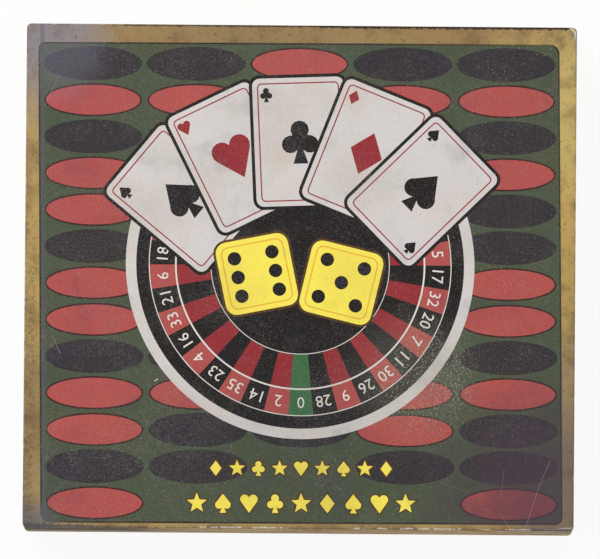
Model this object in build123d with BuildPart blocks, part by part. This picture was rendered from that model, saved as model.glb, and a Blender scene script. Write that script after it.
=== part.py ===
"""Casino game box: a rigid two-piece box with a lift-off lid, its fitted tray and the game pieces.

Millimetres, +Z up. The origin is the centre of the closed box on the surface that it stands on.
+X is the right of the cover as it is read, and +Y is its top edge.
"""

from build123d import *
from math import atan2, cos, degrees, radians, sin
import os

# Box
box_length = 300.0
box_width = 275.0
box_height = 60.0
lid_depth = 54.0
board = 2.0
paper = 0.3
fold_bevel = 0.4
corner_radius = 2.5
turn_in = 30.0
slip_gap = 0.6

# Under the foam
mat_gap = 4.0
mat_thickness = 3.2
leaflet_width = 210.0
leaflet_length = 148.0
leaflet_thickness = 0.6

# Foam insert
foam_gap = 0.4
foam_height = 39.6
foam_floor = 2.0
rib = 6.0
strip_width = 58.6
thumb_width = 24.0
thumb_reach = 12.0
thumb_depth = 22.0

# Wheel bowl
wheel_gap = 1.0
bowl_height = 34.0
bowl_floor = 3.6
bowl_wall_height = 14.0
bowl_flare_width = 24.0
rim_land = 5.0
rim_lip = 6.0
track_width = 7.0
track_drop = 4.5
apron_width = 20.0
apron_height = 14.5
foot_size = 12.0
foot_thickness = 1.4
foot_inset = 10.0
foot_count = 4
deflector_count = 8
deflector_length = 9.0
deflector_width = 3.4
deflector_height = 1.6

# Wheel rotor
rotor_gap = 0.7
rotor_float = 1.2
number_band = 11.0
number_slope = 1.8
pocket_length = 9.5
pocket_depth = 4.4
pocket_count = 38
fret_thickness = 0.8
fret_clearance = 0.1
cone_rise = 9.0
cone_skirt = 1.2
hub_radius = 10.0

# Spindle and its fastening
spindle_radius = 3.0
spindle_flange_flats = 13.0
spindle_flange = 1.0
spindle_clear = 1.0
running_clearance = 0.05
assembly_clearance = 0.1
bush_wall = 2.0
nut_across_flats = 10.0
nut_height = 2.0

# Turret, whose turned parts have eight sides
turret_sides = 8
column_foot_radius = 8.0
column_foot_height = 2.0
column_waist_radius = 3.2
column_collar_radius = 4.6
column_height = 14.0
column_collar_height = 2.0
arm_length = 19.0
arm_width = 3.0
arm_height = 2.6
knob_radius = 3.0
knob_height = 3.9
finial_radius = 4.2
finial_tip_radius = 0.8
finial_belly = 3.0
finial_height = 8.0

# Chips, cards, dice and ball
chip_radius = 20.0
chip_sides = 22
chip_thickness = 3.5
chip_pitch = 3.6
chips_per_stack = 3
stack_count = 5
card_width = 63.0
card_length = 88.0
card_corner = 3.5
deck_thickness = 16.5
band_width = 22.0
band_paper = 0.25
die_size = 16.0
die_edge = 0.3
die_pitch = 16.4
dice_columns = 2
dice_rows = 3
dice_count = 5
ball_radius = 4.5
ball_sides = 16
ball_seat = 0.3
well_gap = 1.0
proud = 1.0
dice_proud = 3.0
slot_width = 14.0
slot_depth = 8.0
notch_width = 16.0
notch_reach = 7.5
scoop_radius = 15.0
scoop_depth = 24.0
ball_well_width = 22.0
ball_well_depth = 8.0

# Levels
wall = board + 2 * paper
base_height = box_height - wall
leaflet_bottom = wall + mat_thickness
foam_bottom = leaflet_bottom + leaflet_thickness
foam_top = foam_bottom + foam_height
wheel_seat = foam_bottom + foam_floor
bowl_bottom = wheel_seat + foot_thickness
bowl_inside = bowl_bottom + bowl_floor

# Plan of the base and the foam
base_length = box_length - 2 * (wall + slip_gap)
base_width = box_width - 2 * (wall + slip_gap)
foam_length = base_length - 2 * (wall + foam_gap)
foam_width = base_width - 2 * (wall + foam_gap)
wheel_well_radius = (foam_width - strip_width - 3 * rib) / 2
wheel_radius = wheel_well_radius - wheel_gap
wheel_x = -foam_length / 2 + rib + wheel_well_radius
wheel_y = foam_width / 2 - rib - wheel_well_radius
wheel_centre = (wheel_x, wheel_y)
column_left = wheel_x + wheel_well_radius + rib
column_x = (column_left + foam_length / 2 - rib) / 2
card_well_length = card_length + 2 * well_gap
card_well_width = card_width + 2 * well_gap
first_card_y = foam_width / 2 - rib - card_well_length / 2
second_card_y = first_card_y - card_well_length - rib
strip_top = wheel_y - wheel_well_radius - rib
strip_y = (strip_top - foam_width / 2 + rib) / 2
chip_well_radius = chip_radius + well_gap
chip_spacing = 2 * chip_well_radius + rib / 2
first_chip_x = -foam_length / 2 + rib + chip_well_radius
last_chip_x = first_chip_x + (stack_count - 1) * chip_spacing
chips_x = (first_chip_x + last_chip_x) / 2
dice_left = last_chip_x + chip_well_radius + rib
dice_x = (dice_left + foam_length / 2 - rib) / 2
dice_well_width = dice_columns * die_pitch + 2 * well_gap
dice_well_length = dice_rows * die_pitch + 2 * well_gap
scoop_offset = (wheel_well_radius + scoop_radius / 5) * cos(radians(45))
scoop_places = [(wheel_x + side * scoop_offset, wheel_y - side * scoop_offset) for side in (-1, 1)]
ball_offset = (wheel_well_radius + rib / 2) * cos(radians(45)) + ball_well_width / 2
ball_place = (wheel_x + ball_offset, wheel_y + ball_offset)
thumb_left = (-foam_length / 2, (strip_top + wheel_y) / 2 - scoop_radius * 2)
thumb_right = (foam_length / 2, (first_card_y + second_card_y) / 2)

# Floors of the wells
chip_stack = chips_per_stack * chip_pitch
chip_floor = foam_top + proud - chip_stack
deck_of_cards = deck_thickness + 2 * band_paper
card_floor = foam_top + proud - deck_of_cards
dice_floor = foam_top + dice_proud - die_size
ball_floor = foam_top - ball_well_depth

os.makedirs("parts", exist_ok=True)


def save(builder, name):
    """Label a finished piece and write it under its name."""
    builder.part.label = name
    export_step(builder.part, f"parts/{name}.step")


# Folded trays of the lid and the base


def layer(length, width, inset, start, end, face, mode=Mode.ADD, round_corners=True):
    """A block inset from the tray's outside, between two depths measured in from its closed face."""
    plan = (length - 2 * inset, width - 2 * inset)
    with BuildSketch(face.offset(start)) as outline:
        if round_corners:
            RectangleRounded(*plan, corner_radius - inset)
        else:
            Rectangle(*plan)
    extrude(outline.sketch, amount=end - start, mode=mode)


def folded_tray(name, length, width, depth, face):
    """Board, wrap and liner of one half of the box, whose closed panel lies on face."""
    size = (length, width)
    inside = wall - paper
    rim = depth - paper

    with BuildPart() as tray:
        layer(*size, paper, paper, rim, face)
        layer(*size, inside, paper + board, rim, face, Mode.SUBTRACT, round_corners=False)
    save(tray, f"{name}_board")

    with BuildPart() as wrap:
        layer(*size, 0, 0, depth, face)
        inward = Axis(face.origin, face.z_dir)
        chamfer(wrap.faces().sort_by(inward)[0].edges(), fold_bevel)
        layer(*size, paper, paper, rim, face, Mode.SUBTRACT)
        layer(*size, inside, rim, depth, face, Mode.SUBTRACT, round_corners=False)
        layer(*size, inside, depth - turn_in, depth, face, round_corners=False)
        layer(*size, wall, depth - turn_in, depth, face, Mode.SUBTRACT, round_corners=False)
    save(wrap, f"{name}_wrap")

    with BuildPart() as liner:
        layer(*size, inside, inside, depth - turn_in, face, round_corners=False)
        layer(*size, wall, wall, depth - turn_in, face, Mode.SUBTRACT, round_corners=False)
    save(liner, f"{name}_liner")


folded_tray("lid", box_length, box_width, lid_depth, Plane((0, 0, box_height), z_dir=(0, 0, -1)))
folded_tray("base", base_length, base_width, base_height, Plane.XY)


# Mat and leaflet, flat under the foam

with BuildPart() as layout_mat:
    with BuildSketch(Plane.XY.offset(wall)):
        Rectangle(base_length - 2 * (wall + mat_gap), base_width - 2 * (wall + mat_gap))
    extrude(amount=mat_thickness)
    folded_edges = layout_mat.edges().filter_by(Axis.Y).group_by(Axis.X)[-1]
    fillet(folded_edges, mat_thickness * 0.45)
save(layout_mat, "layout_mat")

with BuildPart() as rules_leaflet:
    with BuildSketch(Plane.XY.offset(leaflet_bottom)):
        Rectangle(leaflet_width, leaflet_length)
    extrude(amount=leaflet_thickness)
save(rules_leaflet, "rules_leaflet")


# Foam insert with its wells, finger notches and thumb notches


def well(floor, outline):
    """Cut an outline down from the foam's top face to a floor."""
    extrude(outline.sketch, amount=floor - foam_top, mode=Mode.SUBTRACT)


with BuildPart() as foam_insert:
    with BuildSketch(Plane.XY.offset(foam_bottom)):
        Rectangle(foam_length, foam_width)
    extrude(amount=foam_height)

    with BuildSketch(Plane.XY.offset(foam_top)) as wheel_outline:
        with Locations(wheel_centre):
            Circle(wheel_well_radius)
    well(wheel_seat, wheel_outline)

    with BuildSketch(Plane.XY.offset(foam_top)) as scoop_outline:
        with Locations(*scoop_places):
            Circle(scoop_radius)
    well(foam_top - scoop_depth, scoop_outline)

    with BuildSketch(Plane.XY.offset(foam_top)) as card_outline:
        with Locations((column_x, first_card_y), (column_x, second_card_y)):
            Rectangle(card_well_width, card_well_length)
            Rectangle(card_well_width + 2 * notch_reach, notch_width)
    well(card_floor, card_outline)

    with BuildSketch(Plane.XY.offset(foam_top)) as chip_outline:
        with Locations((chips_x, strip_y)):
            with GridLocations(chip_spacing, 0, stack_count, 1):
                Circle(chip_well_radius)
    well(chip_floor, chip_outline)

    with BuildSketch(Plane.XY.offset(foam_top)) as slot_outline:
        with Locations((chips_x, strip_y)):
            Rectangle(last_chip_x - first_chip_x, slot_width)
    well(foam_top - slot_depth, slot_outline)

    with BuildSketch(Plane.XY.offset(foam_top)) as dice_outline:
        with Locations((dice_x, strip_y)):
            Rectangle(dice_well_width, dice_well_length)
    well(dice_floor, dice_outline)

    with BuildSketch(Plane.XY.offset(foam_top)) as ball_outline:
        with Locations(ball_place):
            Rectangle(ball_well_width, ball_well_width)
    well(ball_floor, ball_outline)

    with BuildSketch(Plane.XY.offset(foam_top)) as thumb_outline:
        with Locations(thumb_left, thumb_right):
            Rectangle(2 * thumb_reach, thumb_width)
    well(foam_top - thumb_depth, thumb_outline)
save(foam_insert, "foam_insert")


# Wheel bowl, revolved about the wheel's own axis

wheel_plane = Plane(origin=(wheel_x, wheel_y, wheel_seat), x_dir=(1, 0, 0), z_dir=(0, -1, 0))
wheel_axis = Axis((wheel_x, wheel_y, 0), (0, 0, 1))
rim_inner = wheel_radius - rim_land
track_inner = rim_inner - track_width
apron_radius = track_inner - apron_width
bowl_base_radius = wheel_radius - bowl_flare_width
track_top = bowl_height - rim_lip
track_bottom = track_top - track_drop
floor_level = foot_thickness + bowl_floor

with BuildPart() as wheel_bowl:
    with BuildSketch(wheel_plane):
        with BuildLine():
            Polyline(
                (0, foot_thickness),
                (bowl_base_radius, foot_thickness),
                (wheel_radius, bowl_height - bowl_wall_height),
                (wheel_radius, bowl_height),
                (rim_inner, bowl_height),
                (rim_inner, track_top),
                (track_inner, track_bottom),
                (apron_radius, apron_height),
                (apron_radius, floor_level),
                (0, floor_level),
                close=True,
            )
        make_face()
    revolve(axis=wheel_axis)
    with Locations((wheel_x, wheel_y, bowl_bottom)):
        Hole(spindle_radius + assembly_clearance)
    with BuildSketch(Plane((wheel_x, wheel_y, bowl_bottom))):
        RegularPolygon(nut_across_flats / 2 + assembly_clearance, 6, major_radius=False)
    extrude(amount=nut_height, mode=Mode.SUBTRACT)
save(wheel_bowl, "wheel_bowl")

# The deflectors stand on the apron, by turns along it and across it.
apron_run = track_inner - apron_radius
apron_rise = track_bottom - apron_height
apron_middle = (track_inner + apron_radius) / 2
deflector_lift = (deflector_length / 2) ** 2 / (2 * apron_middle)

with BuildPart() as ball_deflectors:
    for index in range(deflector_count):
        turn = index * 360 / deflector_count
        outward = Vector(cos(radians(turn)), sin(radians(turn)), 0)
        slope_dir = Vector(outward.X * apron_run, outward.Y * apron_run, apron_rise).normalized()
        across = Vector(-outward.Y, outward.X, 0)
        foot_point = Vector(wheel_x, wheel_y, wheel_seat) + outward * apron_middle
        foot_point += Vector(0, 0, (apron_height + track_bottom) / 2 + deflector_lift)
        seat = Plane(origin=foot_point, x_dir=slope_dir, z_dir=slope_dir.cross(across))
        long_side, short_side = (deflector_length, deflector_width)[:: 1 if index % 2 else -1]
        with BuildSketch(seat):
            with BuildLine():
                Polyline(
                    (long_side / 2, 0),
                    (0, short_side / 2),
                    (-long_side / 2, 0),
                    (0, -short_side / 2),
                    close=True,
                )
            make_face()
        extrude(amount=deflector_height, taper=30)
save(ball_deflectors, "ball_deflectors")

with BuildPart() as bowl_feet:
    with BuildSketch(Plane((wheel_x, wheel_y, wheel_seat))):
        with PolarLocations(bowl_base_radius - foot_inset, foot_count, start_angle=45):
            Rectangle(foot_size, foot_size)
    extrude(amount=foot_thickness)
save(bowl_feet, "bowl_feet")

# Rotor, which turns on the spindle

rotor_radius = apron_radius - rotor_gap
rotor_bottom = floor_level + rotor_float
rotor_edge = apron_height
band_inner = rotor_radius - number_band
band_level = rotor_edge - number_slope
pocket_floor = band_level - pocket_depth
pocket_inner = band_inner - pocket_length
cone_bottom = band_level - cone_skirt
cone_top = band_level + cone_rise
bush_radius = spindle_radius + running_clearance + bush_wall
bush_bottom = floor_level + spindle_flange

with BuildPart() as spindle:
    with BuildSketch(Plane((wheel_x, wheel_y, bowl_bottom))):
        Circle(spindle_radius)
    extrude(amount=cone_top - spindle_clear - foot_thickness)
    with BuildSketch(Plane((wheel_x, wheel_y, bowl_inside))):
        RegularPolygon(spindle_flange_flats / 2, 6, major_radius=False)
    extrude(amount=spindle_flange)
save(spindle, "spindle")

with BuildPart() as spindle_nut:
    with BuildSketch(Plane((wheel_x, wheel_y, bowl_bottom))):
        RegularPolygon(nut_across_flats / 2, 6, major_radius=False)
        Circle(spindle_radius + assembly_clearance, mode=Mode.SUBTRACT)
    extrude(amount=nut_height)
save(spindle_nut, "spindle_nut")

with BuildPart() as rotor_dish:
    with BuildSketch(wheel_plane):
        with BuildLine():
            Polyline(
                (bush_radius, rotor_bottom),
                (rotor_radius, rotor_bottom),
                (rotor_radius, rotor_edge),
                (band_inner, band_level),
                (band_inner, pocket_floor),
                (pocket_inner, pocket_floor),
                (pocket_inner, cone_bottom),
                (bush_radius, cone_bottom),
                close=True,
            )
        make_face()
    revolve(axis=wheel_axis)
save(rotor_dish, "rotor_dish")

with BuildPart() as rotor_bush:
    with BuildSketch(Plane((wheel_x, wheel_y, wheel_seat + bush_bottom))):
        Circle(bush_radius)
        Circle(spindle_radius + running_clearance, mode=Mode.SUBTRACT)
    extrude(amount=cone_bottom - bush_bottom)
save(rotor_bush, "rotor_bush")

with BuildPart() as pocket_frets:
    with BuildSketch(Plane((wheel_x, wheel_y, wheel_seat + pocket_floor))):
        half_pocket = 180 / pocket_count
        with PolarLocations((band_inner + pocket_inner) / 2, pocket_count, start_angle=half_pocket):
            Rectangle(pocket_length - 2 * fret_clearance, fret_thickness)
    extrude(amount=pocket_depth)
save(pocket_frets, "pocket_frets")

with BuildPart() as rotor_cone:
    with BuildSketch(wheel_plane):
        with BuildLine():
            Polyline(
                (pocket_inner, band_level),
                (hub_radius, cone_top),
                (spindle_radius + assembly_clearance, cone_top),
                (spindle_radius + assembly_clearance, cone_bottom),
                (pocket_inner, cone_bottom),
                close=True,
            )
        make_face()
    revolve(axis=wheel_axis)
save(rotor_cone, "rotor_cone")



# Turret, on top of the cone

column_top = cone_top + column_height
arm_top = column_top + arm_height


def flat_sided(plane, sides, *sections):
    """A flat-sided solid that narrows upward, through sections given by height and radius to a flat."""
    for (bottom, radius), (top, top_radius) in zip(sections, sections[1:]):
        with BuildSketch(plane.offset(bottom)) as outline:
            RegularPolygon(radius, sides, major_radius=False)
        taper = degrees(atan2(radius - top_radius, top - bottom))
        extrude(outline.sketch, amount=top - bottom, taper=taper)


with BuildPart() as turret_column:
    column_plane = Plane((wheel_x, wheel_y, wheel_seat))
    flat_sided(
        column_plane,
        turret_sides,
        (cone_top, column_foot_radius),
        (cone_top + column_foot_height / 2, column_foot_radius),
        (cone_top + column_foot_height, column_waist_radius),
        (column_top, column_waist_radius),
    )
    flat_sided(
        column_plane,
        turret_sides,
        (column_top - column_collar_height, column_collar_radius),
        (column_top, column_collar_radius),
    )
save(turret_column, "turret_column")

with BuildPart() as turret_arms:
    with BuildSketch(Plane((wheel_x, wheel_y, wheel_seat + column_top))):
        RegularPolygon(column_collar_radius, turret_sides, major_radius=False)
        with PolarLocations(arm_length / 2, 4):
            Rectangle(arm_length, arm_width)
    extrude(amount=arm_height)
save(turret_arms, "turret_arms")

with BuildPart() as turret_knobs:
    with BuildSketch(Plane((wheel_x, wheel_y, wheel_seat + arm_top))):
        with PolarLocations(arm_length - knob_radius, 4):
            RegularPolygon(knob_radius, turret_sides, major_radius=False)
    extrude(amount=knob_height)
save(turret_knobs, "turret_knobs")

with BuildPart() as turret_finial:
    flat_sided(
        column_plane,
        turret_sides,
        (arm_top, finial_radius),
        (arm_top + finial_belly, finial_radius),
        (arm_top + finial_height, finial_tip_radius),
    )
save(turret_finial, "turret_finial")


# Loose pieces in the wells

with BuildPart() as roulette_ball:
    equator = Plane((*ball_place, ball_floor + ball_seat + ball_radius))
    latitudes = [radians(ring * 360 / ball_sides) for ring in range(ball_sides // 4)]
    flat_sided(
        equator,
        ball_sides,
        *[(ball_radius * sin(angle), ball_radius * cos(angle)) for angle in latitudes],
    )
    mirror(about=equator)
save(roulette_ball, "roulette_ball")

with BuildPart() as metal_chips:
    for level in range(chips_per_stack):
        with BuildSketch(Plane((chips_x, strip_y, chip_floor + level * chip_pitch))):
            with GridLocations(chip_spacing, 0, stack_count, 1):
                RegularPolygon(chip_radius, chip_sides)
        extrude(amount=chip_thickness)
save(metal_chips, "metal_chips")

for name, middle in (("red_cards", first_card_y), ("blue_cards", second_card_y)):
    with BuildPart() as cards:
        with BuildSketch(Plane((column_x, middle, card_floor + band_paper))):
            RectangleRounded(card_width, card_length, card_corner)
        extrude(amount=deck_thickness)
    save(cards, name)

with BuildPart() as card_bands:
    for middle in (first_card_y, second_card_y):
        band_end = Plane((column_x, middle + band_width / 2, card_floor), x_dir=(1, 0, 0), z_dir=(0, -1, 0))
        with BuildSketch(band_end):
            with Locations((0, deck_of_cards / 2)):
                Rectangle(card_width + 2 * band_paper, deck_of_cards)
                Rectangle(card_width, deck_thickness, mode=Mode.SUBTRACT)
        extrude(amount=band_width)
save(card_bands, "card_bands")

with BuildPart() as precision_dice:
    with BuildSketch(Plane((dice_x, strip_y, dice_floor))):
        for index in range(dice_count):
            column = index % dice_columns - (dice_columns - 1) / 2
            row = index // dice_columns - (dice_rows - 1) / 2
            with Locations((column * die_pitch, row * die_pitch)):
                Rectangle(die_size, die_size)
    extrude(amount=die_size)
    chamfer(precision_dice.edges(), die_edge)
save(precision_dice, "precision_dice")
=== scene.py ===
# %% [markdown]
# # A boxed casino game
#
# The object is a rigid paper-covered box, 300 x 275 x 60 mm, with a lid that lifts straight off. Under the
# lid lie a foam insert, a small roulette wheel, metal chips, two decks of cards and some dice.
#
# The sizes come from the CAD frame. A part can keep its CAD mesh and only get a finish, or a better mesh
# can stand in for it.

# %% Load the frame
import bpy
import bmesh
import itertools
import math
import random
from mathutils import Matrix, Vector
from mathutils.geometry import delaunay_2d_cdt

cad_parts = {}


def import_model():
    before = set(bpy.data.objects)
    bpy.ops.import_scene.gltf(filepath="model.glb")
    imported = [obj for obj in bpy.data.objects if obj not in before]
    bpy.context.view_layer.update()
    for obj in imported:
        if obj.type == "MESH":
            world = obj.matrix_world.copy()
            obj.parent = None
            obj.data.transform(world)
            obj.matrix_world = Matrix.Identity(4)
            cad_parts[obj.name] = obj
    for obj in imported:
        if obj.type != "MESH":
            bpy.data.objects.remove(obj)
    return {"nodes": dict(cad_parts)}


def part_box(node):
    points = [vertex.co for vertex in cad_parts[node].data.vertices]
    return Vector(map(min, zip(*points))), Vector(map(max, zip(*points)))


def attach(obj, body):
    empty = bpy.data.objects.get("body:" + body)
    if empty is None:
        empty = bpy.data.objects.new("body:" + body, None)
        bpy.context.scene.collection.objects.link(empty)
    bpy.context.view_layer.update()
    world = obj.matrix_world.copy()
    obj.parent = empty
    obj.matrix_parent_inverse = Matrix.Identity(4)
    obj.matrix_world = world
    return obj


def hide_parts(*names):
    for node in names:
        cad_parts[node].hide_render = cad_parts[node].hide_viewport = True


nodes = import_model()["nodes"]
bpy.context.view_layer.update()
mm = 0.001

# %% [markdown]
# ## Tools for meshes
#
# Nearly every piece here is one of two shapes. A turned part is a profile swept round an axis. A cut part
# is an outline with a height. Both helpers return closed meshes, which matters for glass, for shadows and
# for anyone who uses the model later. Real edges are never razor sharp, so `soften` rounds the corners of a
# profile before it is swept: the small rounds are what catch the light.

# %% Profiles and lathes
def spun(degrees, axis="Z"):
    """A rotation in space."""
    return Matrix.Rotation(math.radians(degrees), 4, axis)


def made(bm):
    """The finished mesh of a working one."""
    mesh = bpy.data.meshes.new("made")
    bm.to_mesh(mesh)
    bm.free()
    return mesh


def bridge(bm, rings):
    """The faces from each ring of corners to the next."""
    faces = []
    for ring, following in zip(rings, rings[1:]):
        for k in range(len(ring)):
            n = (k + 1) % len(ring)
            faces.append(bm.faces.new((ring[k], following[k], following[n], ring[n])))
    return faces


def soften(profile, radius, steps=3):
    """Round the corners of a closed profile, apart from those on the axis."""
    rounded = []
    for index, corner in enumerate(profile):
        before, after = profile[index - 1], profile[(index + 1) % len(profile)]
        corner, before, after = Vector(corner), Vector(before), Vector(after)
        reach = min(radius, (before - corner).length / 2, (after - corner).length / 2)
        if corner.x < 1e-9 or reach < 1e-9:
            rounded.append(tuple(corner))
            continue
        start = corner + (before - corner).normalized() * reach
        end = corner + (after - corner).normalized() * reach
        for step in range(steps + 1):
            t = step / steps
            rounded.append(tuple(start * (1 - t) ** 2 + corner * 2 * t * (1 - t) + end * t**2))
    return rounded


def lathe(profile, centre=(0, 0), segments=96):
    """A closed mesh from a closed profile of (radius, height) pairs in metres."""
    bm = bmesh.new()
    rings = []
    for radius, height in profile:
        count = 1 if radius < 1e-9 else segments
        angles = [2 * math.pi * k / count for k in range(count)]
        rings.append([
            bm.verts.new((centre[0] + radius * math.cos(a), centre[1] + radius * math.sin(a), height))
            for a in angles
        ])
    for ring, following in zip(rings, rings[1:] + rings[:1]):
        if len(ring) == 1 and len(following) == 1:
            continue
        for k in range(segments):
            corners = [ring[k % len(ring)], ring[(k + 1) % len(ring)]]
            corners += [following[(k + 1) % len(following)], following[k % len(following)]]
            bm.faces.new(list(dict.fromkeys(corners)))
    bmesh.ops.recalc_face_normals(bm, faces=bm.faces)
    return made(bm)


# %% Cut shapes and pieces
def prism(outline, bottom, top, bevel=0.0):
    """A closed mesh from an outline of (x, y) points in metres, with an optional edge bevel."""
    bm = bmesh.new()
    low, high = ([bm.verts.new((x, y, z)) for x, y in outline] for z in (bottom, top))
    bm.faces.new(low[::-1])
    bm.faces.new(high)
    bridge(bm, (low, high))
    bmesh.ops.recalc_face_normals(bm, faces=bm.faces)
    if bevel:
        rim = [e for e in bm.edges if abs(e.verts[0].co.z - e.verts[1].co.z) < 1e-9]
        bmesh.ops.bevel(bm, geom=rim, offset=bevel, segments=2, profile=0.5, affect="EDGES")
    return made(bm)


def joined(*meshes):
    """One mesh from several closed ones that share a list of finishes."""
    bm = bmesh.new()
    for mesh in meshes:
        bm.from_mesh(mesh)
    return made(bm)


def piece(name, mesh, finishes, body, slot, *replaced, smooth=30):
    """An object on a moving body, with its finishes and the CAD nodes it stands for. The material slot is not
    used.
    """
    obj = bpy.data.objects.new(name, mesh)
    bpy.context.scene.collection.objects.link(obj)
    mesh.name = name
    for material in finishes:
        mesh.materials.append(material)
    mesh.polygons.foreach_set("use_smooth", [True] * len(mesh.polygons))
    mesh.set_sharp_from_angle(angle=math.radians(smooth))
    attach(obj, body)
    if replaced:
        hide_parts(*replaced)
    print(f"{name}: {len(mesh.polygons)} faces on body {body}")
    return obj


# %% [markdown]
# ## Tools for materials
#
# A finish is a small graph of nodes. These helpers keep such a graph readable: `add` makes a node and links
# its inputs, `calc` and `vector` are one sum each, `product` lays masks over one another, and `mix` blends
# two colours. Colours are written as they look on a screen, from 0 to 255, and `shade` turns them into the
# linear values that the shader needs.
#
# All textures use object coordinates. The pieces keep the frame's origin, so one metre in the texture is
# one metre on the box, and the grain stays on the piece when it moves.

# %% Colours and sums
def shade(red, green, blue):
    """A linear RGBA colour from screen values."""
    def linear(value):
        value /= 255
        return value / 12.92 if value <= 0.04045 else ((value + 0.055) / 1.055) ** 2.4

    return (linear(red), linear(green), linear(blue), 1.0)


def deeper(colour, share):
    """The same colour with only a share of its light."""
    return tuple(v * share for v in colour[:3]) + (1.0,)


def add(tree, kind, inputs=None, **settings):
    """A new node, with its settings made and its inputs linked or set."""
    node = tree.nodes.new(kind)
    for key, value in settings.items():
        setattr(node, key, value)
    for key, value in (inputs or {}).items():
        if isinstance(value, bpy.types.NodeSocket):
            tree.links.new(value, node.inputs[key])
        else:
            node.inputs[key].default_value = value
    return node


def calc(tree, operation, *values):
    return add(tree, "ShaderNodeMath", dict(enumerate(values)), operation=operation).outputs[0]


def vector(tree, operation, *values, output="Vector", **named):
    inputs = dict(enumerate(values)) | named
    return add(tree, "ShaderNodeVectorMath", inputs, operation=operation).outputs[output]


def product(tree, first, *others):
    """Masks multiplied together, so that the result is strong only where all of them are."""
    for other in others:
        first = calc(tree, "MULTIPLY", first, other)
    return first


def diagonal(tree, *sides):
    """The length of the line whose sides along the axes are given."""
    total, *squares = [calc(tree, "POWER", side, 2.0) for side in sides]
    for square in squares:
        total = calc(tree, "ADD", total, square)
    return calc(tree, "SQRT", total)


def mix(tree, factor, first, second, how="MIX"):
    inputs = {0: factor, 6: first, 7: second}
    return add(tree, "ShaderNodeMix", inputs, data_type="RGBA", blend_type=how).outputs[2]


def between(tree, value, low, high, start=0.0, end=1.0):
    """A soft step: start below low, end above high."""
    inputs = {"Value": value, "From Min": low, "From Max": high, "To Min": start, "To Max": end}
    return add(tree, "ShaderNodeMapRange", inputs, interpolation_type="SMOOTHSTEP").outputs[0]


def ragged(tree, value, grain, swing):
    """A length made uneven by a noise, up to half the swing either way."""
    return calc(tree, "MULTIPLY_ADD", calc(tree, "SUBTRACT", grain, 0.5), swing, value)


# %% Patterns and shaders
def noise(tree, place, scale, detail=3.0, roughness=0.55):
    inputs = {"Vector": place, "Scale": scale, "Detail": detail, "Roughness": roughness}
    return add(tree, "ShaderNodeTexNoise", inputs).outputs["Fac"]


def cells(tree, place, scale):
    """How far a point lies from the middle of its cell in a pattern of random cells."""
    inputs = {"Vector": place, "Scale": scale}
    return add(tree, "ShaderNodeTexVoronoi", inputs, feature="F1").outputs["Distance"]


def waves(tree, place, scale, distortion, detail=2.0, detail_scale=1.0, **settings):
    inputs = {"Vector": place, "Scale": scale, "Distortion": distortion}
    inputs |= {"Detail": detail, "Detail Scale": detail_scale}
    return add(tree, "ShaderNodeTexWave", inputs, **settings).outputs["Fac"]


def finish(name, colour, roughness=0.5, metallic=0.0, **sockets):
    """A material with its shader's constants set. Returns it with its tree, shader and place."""
    material = bpy.data.materials.new(name)
    material.use_nodes = True
    tree = material.node_tree
    shader = tree.nodes["Principled BSDF"]
    constants = {"Base_Color": colour, "Roughness": roughness, "Metallic": metallic, **sockets}
    for socket, value in constants.items():
        shader.inputs[socket.replace("_", " ")].default_value = value
    return material, tree, shader, add(tree, "ShaderNodeTexCoord").outputs["Object"]


def paint(tree, shader, colour, roughness=None):
    """Link a worked-out colour, and a roughness where that varies too."""
    tree.links.new(colour, shader.inputs["Base Color"])
    if roughness:
        tree.links.new(roughness, shader.inputs["Roughness"])


def raise_surface(tree, shader, height, distance, strength):
    """Bump from a height between 0 and 1, which stands for a distance in metres."""
    bump = add(tree, "ShaderNodeBump", {"Height": height, "Distance": distance, "Strength": strength})
    tree.links.new(bump.outputs[0], shader.inputs["Normal"])


# %% [markdown]
# ## Tools for flat pictures
#
# Print, enamel and the pips of a die are flat pictures in a surface. Each is a list of outlines in
# millimetres, laid over one another like cut paper. A constrained Delaunay triangulation turns them into
# one net of triangles in which every outline is made of edges, and each triangle takes the ink of the
# topmost outline over it. The result has crisp borders at any distance, and no layers that could flicker.

# %% Nets
def inside(point, outline):
    """Is the point inside the closed outline?"""
    px, py = point
    hit = False
    for (ax, ay), (bx, by) in zip(outline, outline[-1:] + outline[:-1]):
        if (ay > py) != (by > py) and px < (bx - ax) * (py - ay) / (by - ay) + ax:
            hit = not hit
    return hit


def triangulated(outlines):
    """The points of a net with all outlines in it, and each triangle's corners and middle."""
    points, edges = [], []
    for outline in outlines:
        first = len(points)
        points += [Vector(p) for p in outline]
        edges += [(first + k, first + (k + 1) % len(outline)) for k in range(len(outline))]
    points, _, triangles, _, _, _ = delaunay_2d_cdt(points, edges, [], 0, 1e-5, False)
    middles = [sum((points[c] for c in corners), Vector((0, 0))) / len(corners) for corners in triangles]
    return points, list(zip(triangles, middles))


def span(outline):
    """The least and greatest x, and the least and greatest y."""
    across, up = zip(*outline)
    return min(across), max(across), min(up), max(up)


def net(rim, layers, ground):
    """The points and triangles of a picture, and the ink of each triangle."""
    points, triangles = triangulated([rim] + [outline for _, outline in layers])
    topmost_first = [(name, outline, span(outline)) for name, outline in reversed(layers)]
    kept, chosen = [], []
    for corners, middle in triangles:
        if not inside(middle, rim):
            continue
        ink_name = ground
        for name, outline, (x0, x1, y0, y1) in topmost_first:
            if x0 <= middle.x <= x1 and y0 <= middle.y <= y1 and inside(middle, outline):
                ink_name = name
                break
        kept.append(corners)
        chosen.append(ink_name)
    return points, kept, chosen


def lay(bm, picture, names, place):
    """Add a net to a mesh. The matrix turns its millimetres into metres in space."""
    points, triangles, chosen = picture
    corners_made = [bm.verts.new(place @ Vector((p.x, p.y, 0))) for p in points]
    for corners, ink_name in zip(triangles, chosen):
        bm.faces.new([corners_made[c] for c in corners]).material_index = names.index(ink_name)


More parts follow.
